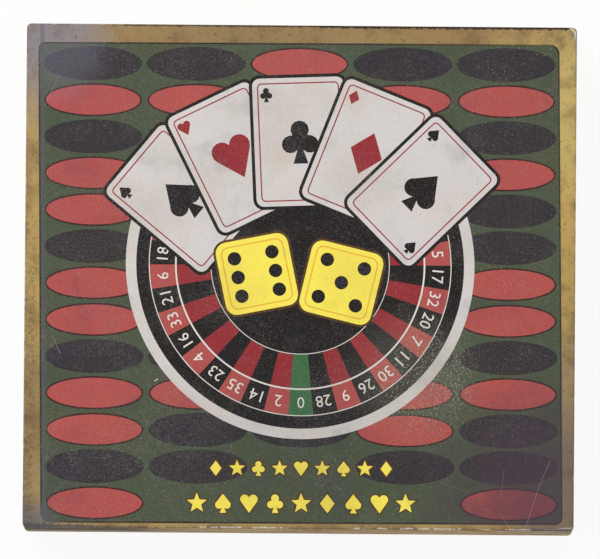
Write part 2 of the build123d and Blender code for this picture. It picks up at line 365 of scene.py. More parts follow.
def closed(bm):
    """Weld a mesh, drop loose points and say how many edges are still open."""
    bmesh.ops.remove_doubles(bm, verts=bm.verts, dist=1e-7)
    bmesh.ops.delete(bm, geom=[v for v in bm.verts if not v.link_faces], context="VERTS")
    bmesh.ops.recalc_face_normals(bm, faces=bm.faces)
    print("open edges:", sum(1 for e in bm.edges if len(e.link_faces) != 2))
    return made(bm)


# %% [markdown]
# ## Outlines
#
# Round forms come from formulas, and a card suit is a few arcs about its middle. `turned` and `swollen`
# move an outline or make it fatter, which gives drop lines and frames for free.

# %% Plain outlines
def turned(points, degrees, centre=(0, 0)):
    turn = Matrix.Rotation(math.radians(degrees), 2)
    return [tuple(turn @ Vector(p) + Vector(centre)) for p in points]


def swollen(points, amount):
    """The outline moved outwards by an amount along its normals."""
    moved = []
    for index, point in enumerate(points):
        before, after = Vector(points[index - 1]), Vector(points[(index + 1) % len(points)])
        point = Vector(point)
        incoming, outgoing = (point - before).normalized(), (after - point).normalized()
        normal = Vector((incoming.y + outgoing.y, -incoming.x - outgoing.x))
        if normal.length < 1e-6:
            normal = Vector((incoming.y, -incoming.x))
        normal.normalize()
        stretch = 1 / max(0.45, normal.dot(Vector((incoming.y, -incoming.x))))
        moved.append(tuple(point + normal * amount * stretch))
    return moved


def ellipse(centre, half_width, half_height, count=40):
    angles = [2 * math.pi * k / count for k in range(count)]
    return [(centre[0] + half_width * math.cos(a), centre[1] + half_height * math.sin(a)) for a in angles]


def rounded_rectangle(low, high, radii, steps=6):
    """Corner by corner, counter-clockwise from the upper right, with one radius or four."""
    if isinstance(radii, (int, float)):
        radii = (radii,) * 4
    corners = (
        (high[0], high[1], -1, -1),
        (low[0], high[1], 1, -1),
        (low[0], low[1], 1, 1),
        (high[0], low[1], -1, 1),
    )
    points = []
    for quarter, (radius, (corner_x, corner_y, inward_x, inward_y)) in enumerate(zip(radii, corners)):
        for step in range(steps + 1):
            angle = math.radians(90 * (quarter + step / steps))
            points.append((
                corner_x + radius * (inward_x + math.cos(angle)),
                corner_y + radius * (inward_y + math.sin(angle)),
            ))
    return points


def plate(half_x, half_y, radius, steps):
    """A rounded rectangle about the origin."""
    return rounded_rectangle((-half_x, -half_y), (half_x, half_y), radius, steps)


# %% Suits, stars and figures
def suit(kind, size):
    """The outline of a card suit about the origin, size tall, counter-clockwise."""
    def arc(cx, cy, radius, start, end, steps=8):
        angles = [math.radians(start + (end - start) * k / steps) for k in range(steps + 1)]
        return [(cx + radius * math.cos(a), cy + radius * math.sin(a)) for a in angles]

    stem = [(-0.17, -0.5), (0.17, -0.5)]
    if kind == "diamond":
        right_side = [(0, -0.5), (0.2, -0.24), (0.38, 0), (0.2, 0.24)]
        points = right_side + [(-px, -py) for px, py in right_side]
    elif kind == "heart":
        cleft = math.degrees(math.acos(0.22 / 0.24))
        points = [(0, -0.5)] + arc(0.22, 0.22, 0.24, -35, 180 - cleft)
        points += arc(-0.22, 0.22, 0.24, cleft, 215)[1:]
    elif kind == "spade":
        points = stem + arc(0.2, -0.08, 0.21, -130, 55) + [(0, 0.5)] + arc(-0.2, -0.08, 0.21, 125, 310)
    else:
        points = stem + arc(0.22, -0.06, 0.2, -140, 75) + arc(0, 0.27, 0.21, -35, 215)
        points += arc(-0.22, -0.06, 0.2, 105, 320)
    return [(px * size, py * size) for px, py in points]


def star(size):
    """A star of five points about the origin."""
    radii = (size / 2, size / 4.6) * 5
    angles = [math.radians(90 + 36 * k) for k in range(len(radii))]
    return [(r * math.cos(a), r * math.sin(a)) for r, a in zip(radii, angles)]


def figures(text, height):
    """The outlines of a number in the plain built-in font, centred, each with True if it is a hole."""
    curve = bpy.data.curves.new("figures", "FONT")
    curve.body = text
    curve.fill_mode = "NONE"
    curve.resolution_u = 2
    writer = bpy.data.objects.new("figures", curve)
    mesh = writer.to_mesh()
    after = {}
    for edge in mesh.edges:
        for a, b in (edge.vertices, tuple(edge.vertices)[::-1]):
            after.setdefault(a, []).append(b)
    loops, seen = [], set()
    for start in after:
        loop, here = [], start
        while here not in seen:
            seen.add(here)
            loop.append(mesh.vertices[here].co.xy.copy())
            here = next((n for n in after[here] if n not in seen), here)
        if len(loop) > 2:
            loops.append(loop)
    writer.to_mesh_clear()
    bpy.data.objects.remove(writer)
    left, right, low, high = span([p for loop in loops for p in loop])
    middle, scale = Vector((left + right, low + high)) / 2, height / (high - low)
    moved = [[tuple((p - middle) * scale) for p in loop] for loop in loops]
    return [(loop, any(inside(loop[0], other) for other in moved if other is not loop)) for loop in moved]


# %% [markdown]
# ## Wear of the printed paper, with painted glare and shade
#
# The cover is printed paper over board, and it has been handled for years. Its wear doesn't follow the
# picture: it lies over all the inks alike. So it is one node group that takes an ink colour and gives back
# the worn colour, with a painted glare and painted shade in it, the roughness and the height of the paper. A
# painted image would do it too, but formulas stay sharp at any distance, and one number moves or weakens a
# mark.
#
# The group is built up roughly from large marks to small: fading, haze and a painted glare, painted shade on
# the walls, scuffs and spots, rubbed folds, rubs and scratches, creases, dust. Each mask is a distance in
# millimetres, broken up with noise so that no edge is clean.

# %% Distances on the lid
wrap_low, wrap_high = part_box("lid_wrap")
lid_top = wrap_high.z
top_mm, rim_mm = wrap_high.z / mm, wrap_low.z / mm
face_half_x = (wrap_high.x - wrap_low.x) / 2 / mm
face_half_y = (wrap_high.y - wrap_low.y) / 2 / mm
front, back, right, left = -face_half_y, face_half_y, face_half_x, -face_half_x

# This group holds the wear of the paper, and also a painted glare and painted shade on the walls
wear_and_painted_light = bpy.data.node_groups.new("paper wear", "ShaderNodeTree")
wear_and_painted_light.interface.new_socket("Ink", in_out="INPUT", socket_type="NodeSocketColor")
for label, kind in (("Colour", "Color"), ("Roughness", "Float"), ("Height", "Float")):
    wear_and_painted_light.interface.new_socket(label, in_out="OUTPUT", socket_type=f"NodeSocket{kind}")
colour = add(wear_and_painted_light, "NodeGroupInput").outputs["Ink"]
place = add(wear_and_painted_light, "ShaderNodeTexCoord").outputs["Object"]
in_mm = vector(wear_and_painted_light, "SCALE", place, Scale=1 / mm)
x, y, z = add(wear_and_painted_light, "ShaderNodeSeparateXYZ", {0: in_mm}).outputs

# How far in from the folds a point lies, on the face and on the walls alike
from_side = calc(wear_and_painted_light, "SUBTRACT", face_half_x, calc(wear_and_painted_light, "ABSOLUTE", x))
from_end = calc(wear_and_painted_light, "SUBTRACT", face_half_y, calc(wear_and_painted_light, "ABSOLUTE", y))
from_top = calc(wear_and_painted_light, "SUBTRACT", top_mm, z)
from_rim = calc(wear_and_painted_light, "SUBTRACT", z, rim_mm)
nearest_side = calc(wear_and_painted_light, "MINIMUM", from_side, from_end)
farther_side = calc(wear_and_painted_light, "MAXIMUM", from_side, from_end)
# A point lies on one of three planes, so its distance to the nearest fold is the middle one of the three
from_fold = calc(wear_and_painted_light, "MAXIMUM", nearest_side, calc(wear_and_painted_light, "MINIMUM", farther_side, from_top))
print("lid face", [round(2 * v, 1) for v in (face_half_x, face_half_y)], "mm, top at", round(top_mm, 1))

# %% [markdown]
# ### Where the border ends
#
# The gold border ages in its own way, so the group has to know where it ends: outside the printed panel and
# its dark line, with the panel's corners rounded. The printer's picture sits askew on the box by fractions
# of a degree, and the mask leans with it.

# %% The border's mask
panel_low, panel_high = (-141.2, -133.7), (141.4, 126.9)
panel_x, panel_y = ((low + high) / 2 for low, high in zip(panel_low, panel_high))
box_roll = math.radians(0.46)
print_lean, print_slope = 0.005, 0.0048
panel_bend = 3.5
across = calc(wear_and_painted_light, "MULTIPLY_ADD", y, print_lean + box_roll, calc(wear_and_painted_light, "SUBTRACT", x, panel_x))
along = calc(wear_and_painted_light, "SUBTRACT", y, panel_y)
out_x = calc(wear_and_painted_light, "SUBTRACT", calc(wear_and_painted_light, "ABSOLUTE", across), panel_high[0] - panel_x)
out_y = calc(wear_and_painted_light, "SUBTRACT", calc(wear_and_painted_light, "ABSOLUTE", along), panel_high[1] - panel_y)
past_x, past_y = (calc(wear_and_painted_light, "MAXIMUM", calc(wear_and_painted_light, "ADD", out, panel_bend), 0.0) for out in (out_x, out_y))
border = between(wear_and_painted_light, diagonal(wear_and_painted_light, past_x, past_y), panel_bend + 0.55, panel_bend + 0.95)
on_panel = calc(wear_and_painted_light, "SUBTRACT", 1.0, border)
print("panel", [round(high - low, 1) for low, high in zip(panel_low, panel_high)], "mm")

# %% [markdown]
# ### Faded, mottled ink
#
# Old ink has drifted in hue and shows the tooth of the paper. Noises of several sizes do it: broad ones
# fade and warm the colour, fine ones leave light and dark grain. Each is faint, since it is their sum that
# the eye reads as print.

# %% Fading and grain
broad = noise(wear_and_painted_light, place, 22.0, 5.0)
cloudy = noise(wear_and_painted_light, place, 70.0, 6.0, 0.62)
gritty = noise(wear_and_painted_light, place, 420.0, 4.0, 0.7)
fine = noise(wear_and_painted_light, place, 1300.0, 3.0, 0.7)
shifted = vector(wear_and_painted_light, "ADD", place, (0.7, 0.3, 0.0))
drift = noise(wear_and_painted_light, shifted, 34.0, 4.0, 0.6)


def worn(mask, tint):
    """The colour so far with a tint laid over it, as strong as the mask."""
    return mix(wear_and_painted_light, mask, colour, shade(*tint))


faded = mix(wear_and_painted_light, 1.0, colour, shade(235, 228, 214), "MULTIPLY")
colour = mix(wear_and_painted_light, between(wear_and_painted_light, broad, 0.35, 0.7, 0.0, 0.5), colour, faded)
warm = between(wear_and_painted_light, drift, 0.48, 0.7, 0.0, 0.5)
colour = mix(wear_and_painted_light, warm, colour, shade(204, 180, 162), "SOFT_LIGHT")
for texture, low, high, start, end, tint in (
    (drift, 0.26, 0.48, 0.22, 0.0, (58, 50, 62)),
    (cloudy, 0.52, 0.85, 0.0, 0.1, (150, 148, 138)),
    (gritty, 0.52, 0.78, 0.0, 0.13, (160, 156, 148)),
    (gritty, 0.22, 0.48, 0.16, 0.0, (34, 30, 28)),
):
    colour = worn(between(wear_and_painted_light, texture, low, high, start, end), tint)
# Fine hatching at a slant, as if the ink had been brushed thin, comes and goes over the face
brushed = {"Vector": place, "Rotation": (0, 0, 0.7), "Scale": (1.0, 0.3, 1.0)}
slanted = add(wear_and_painted_light, "ShaderNodeMapping", brushed, vector_type="TEXTURE").outputs[0]
strokes = between(wear_and_painted_light, noise(wear_and_painted_light, slanted, 620.0, 3.0, 0.7), 0.46, 0.66)
colour = worn(product(wear_and_painted_light, strokes, between(wear_and_painted_light, broad, 0.44, 0.62, 0.03, 0.18)), (152, 148, 162))
grain = between(wear_and_painted_light, drift, 0.35, 0.62, 0.05, 0.16)
colour = worn(product(wear_and_painted_light, between(wear_and_painted_light, fine, 0.5, 0.68), grain), (190, 186, 176))
colour = worn(product(wear_and_painted_light, between(wear_and_painted_light, fine, 0.32, 0.5, 1.0, 0.0), grain), (26, 22, 22))
print("faded ink:", len(wear_and_painted_light.nodes), "nodes so far")

# %% [markdown]
# ### Haze and painted glare
#
# Clouds with no clear edge lie over the print. One helper makes them all: the distance from a point of
# the face, made uneven by a noise, fades a tint in. The border is brown along the back, yellow at the sides
# and grey at the front corners, and a dark purple cloud lies over one corner of the panel. The pale grey
# cloud on the border at the back left corner, and a faint one over the panel beside it, are a painted glare.

# %% Clouds of haze, and a painted glare
def haze(centre, reach, amount, tint, where=None):
    """A cloud of one tint round a point of the face, in millimetres."""
    away = vector(wear_and_painted_light, "DISTANCE", in_mm, (*centre, top_mm), output="Value")
    away = ragged(wear_and_painted_light, away, cloudy, reach * 0.9)
    mask = between(wear_and_painted_light, away, reach * 0.3, reach * 1.2, amount, 0.0)
    return worn(product(wear_and_painted_light, mask, where) if where else mask, tint)


for centre, reach, amount, tint, where in (
    ((-40, back), 90, 0.6, (132, 108, 76), border),
    ((100, back), 80, 0.55, (138, 108, 74), border),
    ((right, 84), 62, 0.85, (200, 176, 108), border),
    ((right, 10), 60, 0.6, (192, 160, 88), border),
    ((right, -66), 46, 0.75, (148, 128, 98), border),
    ((right, -118), 52, 0.9, (116, 104, 92), border),
    ((left, 62), 60, 0.55, (178, 150, 96), border),
    ((left, 0), 60, 0.5, (186, 156, 92), border),
    ((left, -78), 44, 0.6, (138, 116, 84), border),
    ((left, -122), 34, 0.5, (162, 138, 94), border),
    # Painted glare: a pale grey cloud on the border at the back left corner
    ((left, back), 50, 0.92, (138, 132, 136), border),
    # Painted glare: a faint pale cloud over the panel beside it
    ((-130, 121), 28, 0.26, (132, 128, 144), None),
    ((left, front), 20, 0.8, (96, 98, 104), None),
    ((62, -52), 36, 0.18, (140, 140, 126), None),
    ((0, -90), 60, 0.13, (34, 34, 44), None),
    ((right, front), 86, 0.72, (76, 62, 72), on_panel),
):
    colour = haze(centre, reach, amount, tint, where)
print("with haze:", len(wear_and_painted_light.nodes), "nodes")

# %% [markdown]
# ### Walls and border
#
# The walls are tinted a darker, deeper gold than the face, which is painted shade on the sides. Towards the
# left the front wall is scuffed dark grey, with paler rubs under the fold. A scuff is dull, so its mask also
# makes the paper rough further on.
# The border has brown grunge in it, with clusters of spots along its left side, and the print beside them
# has a grey cast.

# %% Painted shade on the walls, scuffs and grunge
on_wall = between(wear_and_painted_light, from_top, 1.0, 3.0)
# Painted shade: the walls are mixed half way to a darker, deeper gold than the face
colour = worn(product(wear_and_painted_light, on_wall, 0.5), (160, 126, 66))
scuffed = product(
    wear_and_painted_light,
    between(wear_and_painted_light, y, front + 0.5, front + 1.0, 1.0, 0.0),
    between(wear_and_painted_light, ragged(wear_and_painted_light, x, cloudy, 70.0), -98, -54, 0.88, 0.0),
    between(wear_and_painted_light, ragged(wear_and_painted_light, from_top, cloudy, 50.0), 20.0, 60.0, 1.0, 0.0),
    on_wall,
)
colour = worn(product(wear_and_painted_light, scuffed, between(wear_and_painted_light, cloudy, 0.24, 0.52, 0.35, 1.0)), (64, 63, 68))
under_fold = between(wear_and_painted_light, from_top, 8.0, 22.0, 1.0, 0.0)
rubbed = product(wear_and_painted_light, between(wear_and_painted_light, gritty, 0.54, 0.64, 0.0, 0.7), under_fold)
colour = worn(product(wear_and_painted_light, scuffed, rubbed), (164, 164, 170))

colour = worn(product(wear_and_painted_light, border, between(wear_and_painted_light, cloudy, 0.46, 0.7, 0.0, 0.5)), (102, 80, 52))
colour = worn(product(wear_and_painted_light, border, between(wear_and_painted_light, gritty, 0.56, 0.7, 0.0, 0.5)), (72, 56, 42))
spotted = product(
    wear_and_painted_light,
    border,
    between(wear_and_painted_light, x, left + 4.5, left + 7.5, 1.0, 0.0),
    between(wear_and_painted_light, y, -10, 50, 0.75, 0.0),
    between(wear_and_painted_light, from_top, 0.3, 1.2, 1.0, 0.0),
    between(wear_and_painted_light, fine, 0.46, 0.58),
    between(wear_and_painted_light, gritty, 0.4, 0.54),
)
colour = worn(spotted, (88, 70, 52))
cast = product(
    wear_and_painted_light,
    between(wear_and_painted_light, out_x, -3.8, -1.2, 0.0, 0.5),
    between(wear_and_painted_light, out_x, -0.5, 0.1, 1.0, 0.0),
    between(wear_and_painted_light, x, left + 20, left + 30, 1.0, 0.0),
)
colour = worn(cast, (90, 92, 98))
print("with scuffs:", len(wear_and_painted_light.nodes), "nodes")

# %% [markdown]
# ### Rubbed folds and corners
#
# A fold wears in two stages: first the ink darkens with dirt, then bare paper shows in broken dashes. Where
# three faces meet, the corner is rubbed pale. Both masks come from the distances to the folds, so they
# follow the box whatever its size.

# %% Folds and corners
close_by = between(wear_and_painted_light, from_fold, 0.3, 1.9, 1.0, 0.0)
near_fold = calc(wear_and_painted_light, "MAXIMUM", close_by, between(wear_and_painted_light, from_fold, 0.0, 5.0, 0.3, 0.0))
colour = worn(product(wear_and_painted_light, near_fold, between(wear_and_painted_light, cloudy, 0.35, 0.62, 0.0, 0.45)), (104, 86, 64))
dashes = between(wear_and_painted_light, noise(wear_and_painted_light, place, 95.0, 3.0, 0.75), 0.56, 0.61)
fold_rub = product(wear_and_painted_light, between(wear_and_painted_light, from_fold, 0.2, 0.9, 1.0, 0.0), dashes)
rim_rub = product(wear_and_painted_light, between(wear_and_painted_light, from_rim, 0.3, 1.6, 0.8, 0.0), dashes)
hairline = calc(wear_and_painted_light, "MAXIMUM", fold_rub, rim_rub)
colour = worn(product(wear_and_painted_light, hairline, 0.55), (206, 196, 182))

from_corner = diagonal(wear_and_painted_light, from_side, from_end, calc(wear_and_painted_light, "MINIMUM", from_top, from_rim))
from_corner = calc(wear_and_painted_light, "MULTIPLY_ADD", cloudy, 5.0, from_corner)
colour = worn(between(wear_and_painted_light, from_corner, 3.0, 4.4, 0.6, 0.0), (150, 146, 144))
print("with folds:", len(wear_and_painted_light.nodes), "nodes")

# %% [markdown]
# ### Rubs and scratches
#
# Some marks lie where a hand or a shelf left them, and noise alone wouldn't put them there. Each is a
# streak between two points: the distance to the line, made uneven by grit. The lists hold white rubs on the
# front fold, grey scuffs on its corners, a dark line along the back fold, a worn corner, and a few thin
# scratches.

# %% Rubs and scratches
def rub(start, end, width, amount, tint, raggedness=2.2):
    """A ragged streak between two points of the face, in millimetres."""
    start, end = Vector((*start, top_mm)), Vector((*end, top_mm))
    way = end - start
    offset = vector(wear_and_painted_light, "SUBTRACT", in_mm, start)
    share = vector(wear_and_painted_light, "DOT_PRODUCT", offset, way / way.length_squared, output="Value")
    share = calc(wear_and_painted_light, "MAXIMUM", calc(wear_and_painted_light, "MINIMUM", share, 1.0), 0.0)
    foot = vector(wear_and_painted_light, "SCALE", way, Scale=share)
    away = vector(wear_and_painted_light, "DISTANCE", offset, foot, output="Value")
    away = ragged(wear_and_painted_light, away, gritty, width * raggedness)
    return worn(between(wear_and_painted_light, away, width * 0.35, width * 0.75, amount, 0.0), tint)


white_rubs = (
    (-53, -44), (-42, -31), (-25, -9), (30, 33), (42, 48),
    (55, 71), (74, 88), (100, 106), (113, 126),
)
for start, end in white_rubs:
    colour = rub((start, front + 0.5), (end, front + 0.5), 0.6, 0.62, (226, 222, 216), 4.6)
for start, end, width, amount, tint in (
    ((left, front + 1.0), (-112, front + 0.2), 2.2, 0.75, (76, 78, 86)),
    ((-112, front - 0.2), (-74, front - 0.6), 1.6, 0.65, (72, 72, 76)),
    ((134, front + 0.7), (141, front + 0.9), 0.6, 0.6, (176, 170, 166)),
    ((142, front + 1.2), (149, front + 1.7), 0.6, 0.7, (190, 184, 180)),
    ((128, front + 0.3), (149, front - 0.2), 2.0, 0.7, (92, 88, 92)),
    # Two dark streaks along the back fold
    ((-96, back - 0.4), (20, back - 0.4), 1.3, 0.85, (62, 48, 40)),
    ((10, back - 0.5), (right - 5, back - 0.5), 1.7, 0.95, (48, 38, 34)),
    ((right - 3.0, back - 0.6), (right - 0.9, back - 3.0), 0.7, 0.8, (212, 208, 204)),
    ((right - 0.9, back - 3.0), (right - 0.7, back - 6.0), 0.8, 0.8, (216, 214, 212)),
    ((right - 0.3, back - 5), (right - 0.4, back - 25), 0.9, 0.6, (122, 126, 134)),
    ((left + 0.4, back - 18), (left + 0.3, front + 40), 0.6, 0.35, (170, 158, 140)),
    ((-132, 110), (-140, 92), 0.3, 0.24, (170, 166, 160)),
    ((137, -99), (130, -116), 0.3, 0.3, (172, 160, 166)),
    ((130, -116), (124, -136), 0.3, 0.34, (172, 160, 166)),
    ((112, -104), (110, -120), 0.25, 0.24, (160, 150, 156)),
    ((110, -128), (115, -136), 0.25, 0.26, (160, 150, 156)),
    ((78, -112), (94, -117), 0.25, 0.22, (150, 150, 140)),
    ((-134.6, -33), (-130.3, -42.7), 0.35, 0.32, (156, 162, 148)),
    ((-78.7, -57.4), (-77.2, -56.4), 0.5, 0.7, (196, 204, 190)),
):
    colour = rub(start, end, width, amount, tint)
print("with rubs:", len(wear_and_painted_light.nodes), "nodes")

# %% [markdown]
# ### Creases and dust
#
# Hair-fine creases follow the contour lines of a slow noise, in a few places. Dust and pinholes are the
# middles of random cells: a sparse scatter all over, and finer dust that lies thick over the front right of
# the ring.

# %% Creases, dust and the group's outputs
contour = calc(wear_and_painted_light, "ABSOLUTE", calc(wear_and_painted_light, "SUBTRACT", noise(wear_and_painted_light, shifted, 26.0, 3.0, 0.6), 0.52))
creased = between(wear_and_painted_light, contour, 0.0, 0.0035, 1.0, 0.0)
colour = worn(product(wear_and_painted_light, creased, between(wear_and_painted_light, broad, 0.5, 0.62), 0.15), (176, 168, 150))
specks = between(wear_and_painted_light, cells(wear_and_painted_light, place, 430.0), 0.04, 0.2, 1.0, 0.0)
sparse = between(wear_and_painted_light, noise(wear_and_painted_light, place, 30.0, 3.0), 0.47, 0.66)
colour = worn(product(wear_and_painted_light, specks, sparse, 0.28), (206, 200, 176))
dusty_place = (68.0, -55.0, top_mm)
from_dusty = vector(wear_and_painted_light, "DISTANCE", in_mm, dusty_place, output="Value")
dusty = product(wear_and_painted_light, between(wear_and_painted_light, from_dusty, 14.0, 42.0, 0.8, 0.0), between(wear_and_painted_light, broad, 0.3, 0.5))
fine_specks = between(wear_and_painted_light, cells(wear_and_painted_light, place, 900.0), 0.12, 0.34, 1.0, 0.0)
colour = worn(product(wear_and_painted_light, fine_specks, dusty), (190, 180, 150))

roughness = between(wear_and_painted_light, cloudy, 0.3, 0.75, 0.44, 0.66)
roughness = calc(wear_and_painted_light, "MAXIMUM", roughness, product(wear_and_painted_light, near_fold, 0.8))
roughness = calc(wear_and_painted_light, "MAXIMUM", roughness, scuffed)
height = calc(wear_and_painted_light, "MULTIPLY_ADD", cloudy, 0.5, product(wear_and_painted_light, fine, 0.5))
add(wear_and_painted_light, "NodeGroupOutput", {"Colour": colour, "Roughness": roughness, "Height": height})
print("paper wear:", len(wear_and_painted_light.nodes), "nodes")

# %% [markdown]
# ## Inks
#
# Offset print lays flat inks side by side, so each ink is a material of its own that passes its colour
# through the group of wear and painted light. A screen of fine dots shows under a lens on the lighter inks;
# at arm's length it only softens them, which the fine noise in the group does.

# %% Inks of the cover
def printed(name, red, green, blue):
    ink = shade(red, green, blue)
    material, tree, shader, _ = finish(f"{name} ink", ink, Specular_IOR_Level=0.1)
    group = add(tree, "ShaderNodeGroup", node_tree=wear_and_painted_light)
    group.inputs["Ink"].default_value = ink
    paint(tree, shader, group.outputs["Colour"], group.outputs["Roughness"])
    raise_surface(tree, shader, group.outputs["Height"], 0.06 * mm, 0.5)
    return material


inks = {name: printed(name, *tint) for name, tint in (
    ("gold", (172, 146, 94)),
    ("keyline", (44, 36, 30)),
    ("maroon", (58, 32, 30)),
    ("green", (74, 84, 64)),
    ("red", (178, 82, 79)),
    ("deep red", (150, 44, 50)),
    ("dark", (50, 46, 50)),
    ("black", (22, 18, 17)),
    ("pale grey", (216, 211, 209)),
    ("white", (232, 229, 222)),
    ("yellow", (255, 236, 92)),
    ("amber", (236, 190, 62)),
    ("brown", (84, 56, 26)),
    ("sector green", (62, 112, 70)),
)}
ink_names = list(inks)
print(len(inks), "inks")

# %% [markdown]
# ## The picture on the lid
#
# The picture is built as flat outlines in layers, the way a cut-paper collage is: a green panel on a gold
# border, rows of red and dark ovals, a round emblem, a fan of cards, two dice, and two rows of small
# ornaments. Nothing here is an image file. Each layer is an ink and a list of points in millimetres from
# the middle of the face, and `net` turns them all into one printed skin further on.

# %% Ground, border and ovals
layers = []


def layer(ink, points):
    layers.append((ink, points))


panel = rounded_rectangle(panel_low, panel_high, (5.0, 2.2, 5.0, 3.2))
layer("keyline", swollen(panel, 0.95))
layer("green", panel)

red_half, dark_half = (25.7, 8.15), (27.0, 9.3)
oval_pitch = (56.35, 20.0)
oval_middle = (0.3, -3.7)
oval_columns = (
    "BRBRRBRRBRRBR",
    "BRBRBRRBBRBB.",
    "RBRBRBBRRBB..",
    "BRBRBBRRBRRB.",
    "BRBRBBRRBRBBR",
)
for column, colours in enumerate(oval_columns):
    for row, letter in enumerate(colours):
        centre = (
            oval_middle[0] + (column - (len(oval_columns) - 1) / 2) * oval_pitch[0],
            oval_middle[1] - (row - (len(colours) - 1) / 2) * oval_pitch[1],
        )
        if letter == "R":
            oval = ellipse(centre, *red_half)
            layer("maroon", swollen(oval, 0.95))
            layer("red", oval)
        elif letter == "B":
            layer("dark", ellipse(centre, *dark_half))
print(len(layers), "layers in the ground")

# %% [markdown]
# ### Emblem
#
# The round emblem is a plain wheel seen from above. Rings and sectors are laid over one another from the
# outside in, as they would be stacked in paper, so no ring needs a hole. The numbers are outlines of the
# built-in font, and the holes in them are laid on top in the ink of the sector.

# %% Rings, sectors and numbers
emblem = (0.1, 6.5)
ring_outer, ring_inner = 95.0, 89.3
cells_outer, cells_inner = 82.0, 68.2
spokes_outer, spokes_inner = 67.2, 49.0
wheel_order = [
    0, 28, 9, 26, 30, 11, 7, 20, 32, 17, 5, 22, 34, 15, 3, 24, 36, 13, 1, 37,
    27, 10, 25, 29, 12, 8, 19, 31, 18, 6, 21, 33, 16, 4, 23, 35, 14, 2,
]
sector_total = len(wheel_order)
sector_step = 360 / sector_total
sector_half = sector_step / 2 - 0.02


def sector_colour(index):
    """The zeros stand opposite each other, and red and black take turns between them."""
    if wheel_order[index] in (0, 37):
        return "green"
    return "black" if index % (sector_total // 2) % 2 else "red"


def numeral(index):
    return "00" if wheel_order[index] == 37 else str(wheel_order[index])


def on_emblem(radius, degrees):
    angle = math.radians(degrees)
    return emblem[0] + radius * math.cos(angle), emblem[1] + radius * math.sin(angle)


def disc(ink, radius):
    layer(ink, ellipse(emblem, radius, radius, 120))


def sectors(sector_inks, inner_radius, outer_radius):
    """A ring of sectors about the emblem's centre."""
    for index in range(sector_total):
        sweep = [index * sector_step - 90 + sector_half * (k / 2 - 1) for k in range(5)]
        outer = [on_emblem(outer_radius, angle) for angle in sweep]
        inner = [on_emblem(inner_radius, angle) for angle in reversed(sweep)]
        layer(sector_inks[sector_colour(index)], outer + inner)


cell_inks = {"green": "sector green", "black": "black", "red": "red"}
spoke_inks = cell_inks | {"red": "deep red"}
disc("pale grey", ring_outer)
disc("black", ring_inner)
disc("white", cells_outer + 0.5)
disc("black", cells_outer)
sectors(cell_inks, cells_inner, cells_outer - 0.05)
disc("white", cells_inner)
disc("black", cells_inner - 0.9)
sectors(spoke_inks, spokes_inner, spokes_outer)
disc("white", spokes_inner - 0.2)
disc("black", spokes_inner - 0.6)
for index in range(sector_total):
    angle = index * sector_step - 90
    middle = on_emblem((cells_outer + cells_inner) / 2, angle)
    loops = sorted(figures(numeral(index), 6.2), key=lambda pair: pair[1])
    for loop, is_hole in loops:
        layer(cell_inks[sector_colour(index)] if is_hole else "white", turned(loop, angle - 90, middle))
print(len(layers), "layers with the emblem")

# %% [markdown]
# ### Cards, dice and ornaments
#
# The cards lie in a fan about one foot below the ring's middle, and each is drawn upright and then turned.
# A frame is the same outline laid twice, the second time a little thinner. Two dice and two rows of small
# stars and suits close the picture.

# %% Fan of cards
card_half_x, card_half_y = 25.0, 35.0
frame_inset = 2.6
fan_foot, fan_reach = Vector((3.5, -14.0)), Vector((0, 88.0))
for lean, kind, ink_name in (
    (50, "spade", "black"),
    (26, "heart", "deep red"),
    (2, "club", "black"),
    (-22, "diamond", "deep red"),
    (-46, "spade", "black"),
):
    middle = fan_foot + Matrix.Rotation(math.radians(lean), 2) @ fan_reach
    card = plate(card_half_x, card_half_y, 4.0, 4)
    line = plate(card_half_x - frame_inset, card_half_y - frame_inset, 2.4, 3)
    corners = [
        [(px - side * (card_half_x - 7.5), py + side * (card_half_y - 9)) for px, py in suit(kind, 8)]
        for side in (-1, 1)
    ]
    for ink, outline in (
        ("black", swollen(card, 1.8)),
        ("pale grey", card),
        ("deep red", line),
        ("pale grey", swollen(line, -0.7)),
        (ink_name, suit(kind, 24)),
        (ink_name, corners[0]),
        (ink_name, corners[1]),
    ):
        layer(ink, turned(outline, lean, middle))
print(len(layers), "layers with the cards")

# %% Dice and ornaments
pip_places = {
    1: ((0, 0),),
    2: ((-1, -1), (1, 1)),
    3: ((-1, -1), (0, 0), (1, 1)),
    4: ((-1, -1), (-1, 1), (1, -1), (1, 1)),
    5: ((-1, -1), (-1, 1), (1, -1), (1, 1), (0, 0)),
    6: ((-1, -1), (-1, 0), (-1, 1), (1, -1), (1, 0), (1, 1)),
}
printed_half, printed_pip, printed_spacing = 20.0, 3.7, 10.4
for middle, lean, count in (((-23.5, 1.5), 11, 6), ((22.5, -3.0), -14, 5)):
    face = plate(printed_half, printed_half, 6.0, 5)
    line = plate(printed_half - frame_inset, printed_half - frame_inset, 4.2, 4)
    layer("brown", turned(swollen(face, 1.3), lean, middle))
    layer("yellow", turned(face, lean, middle))
    layer("amber", turned(line, lean, middle))
    layer("yellow", turned(swollen(line, -0.8), lean, middle))
    for px, py in pip_places[count]:
        pip = ellipse((px * printed_spacing, py * printed_spacing), printed_pip, printed_pip, 28)
        layer("black", turned(pip, lean, middle))

ornament_rows = (
    (-104.5, 8.2, 11.6, ("diamond", "star", "club", "star", "heart", "star", "spade", "star", "diamond")),
    (-123.6, 10.4, 14.2, ("star", "spade", "heart", "club", "star", "diamond", "spade", "heart", "star")),
)
for level, size, pitch, kinds in ornament_rows:
    for index, kind in enumerate(kinds):
        outline = star(size * 1.1) if kind == "star" else suit(kind, size)
        middle = ((index - (len(kinds) - 1) / 2) * pitch, level)
        layer("brown", turned(swollen(outline, 0.75), 0, middle))
        layer("yellow", turned(outline, 0, middle))
print(len(layers), "layers in all")

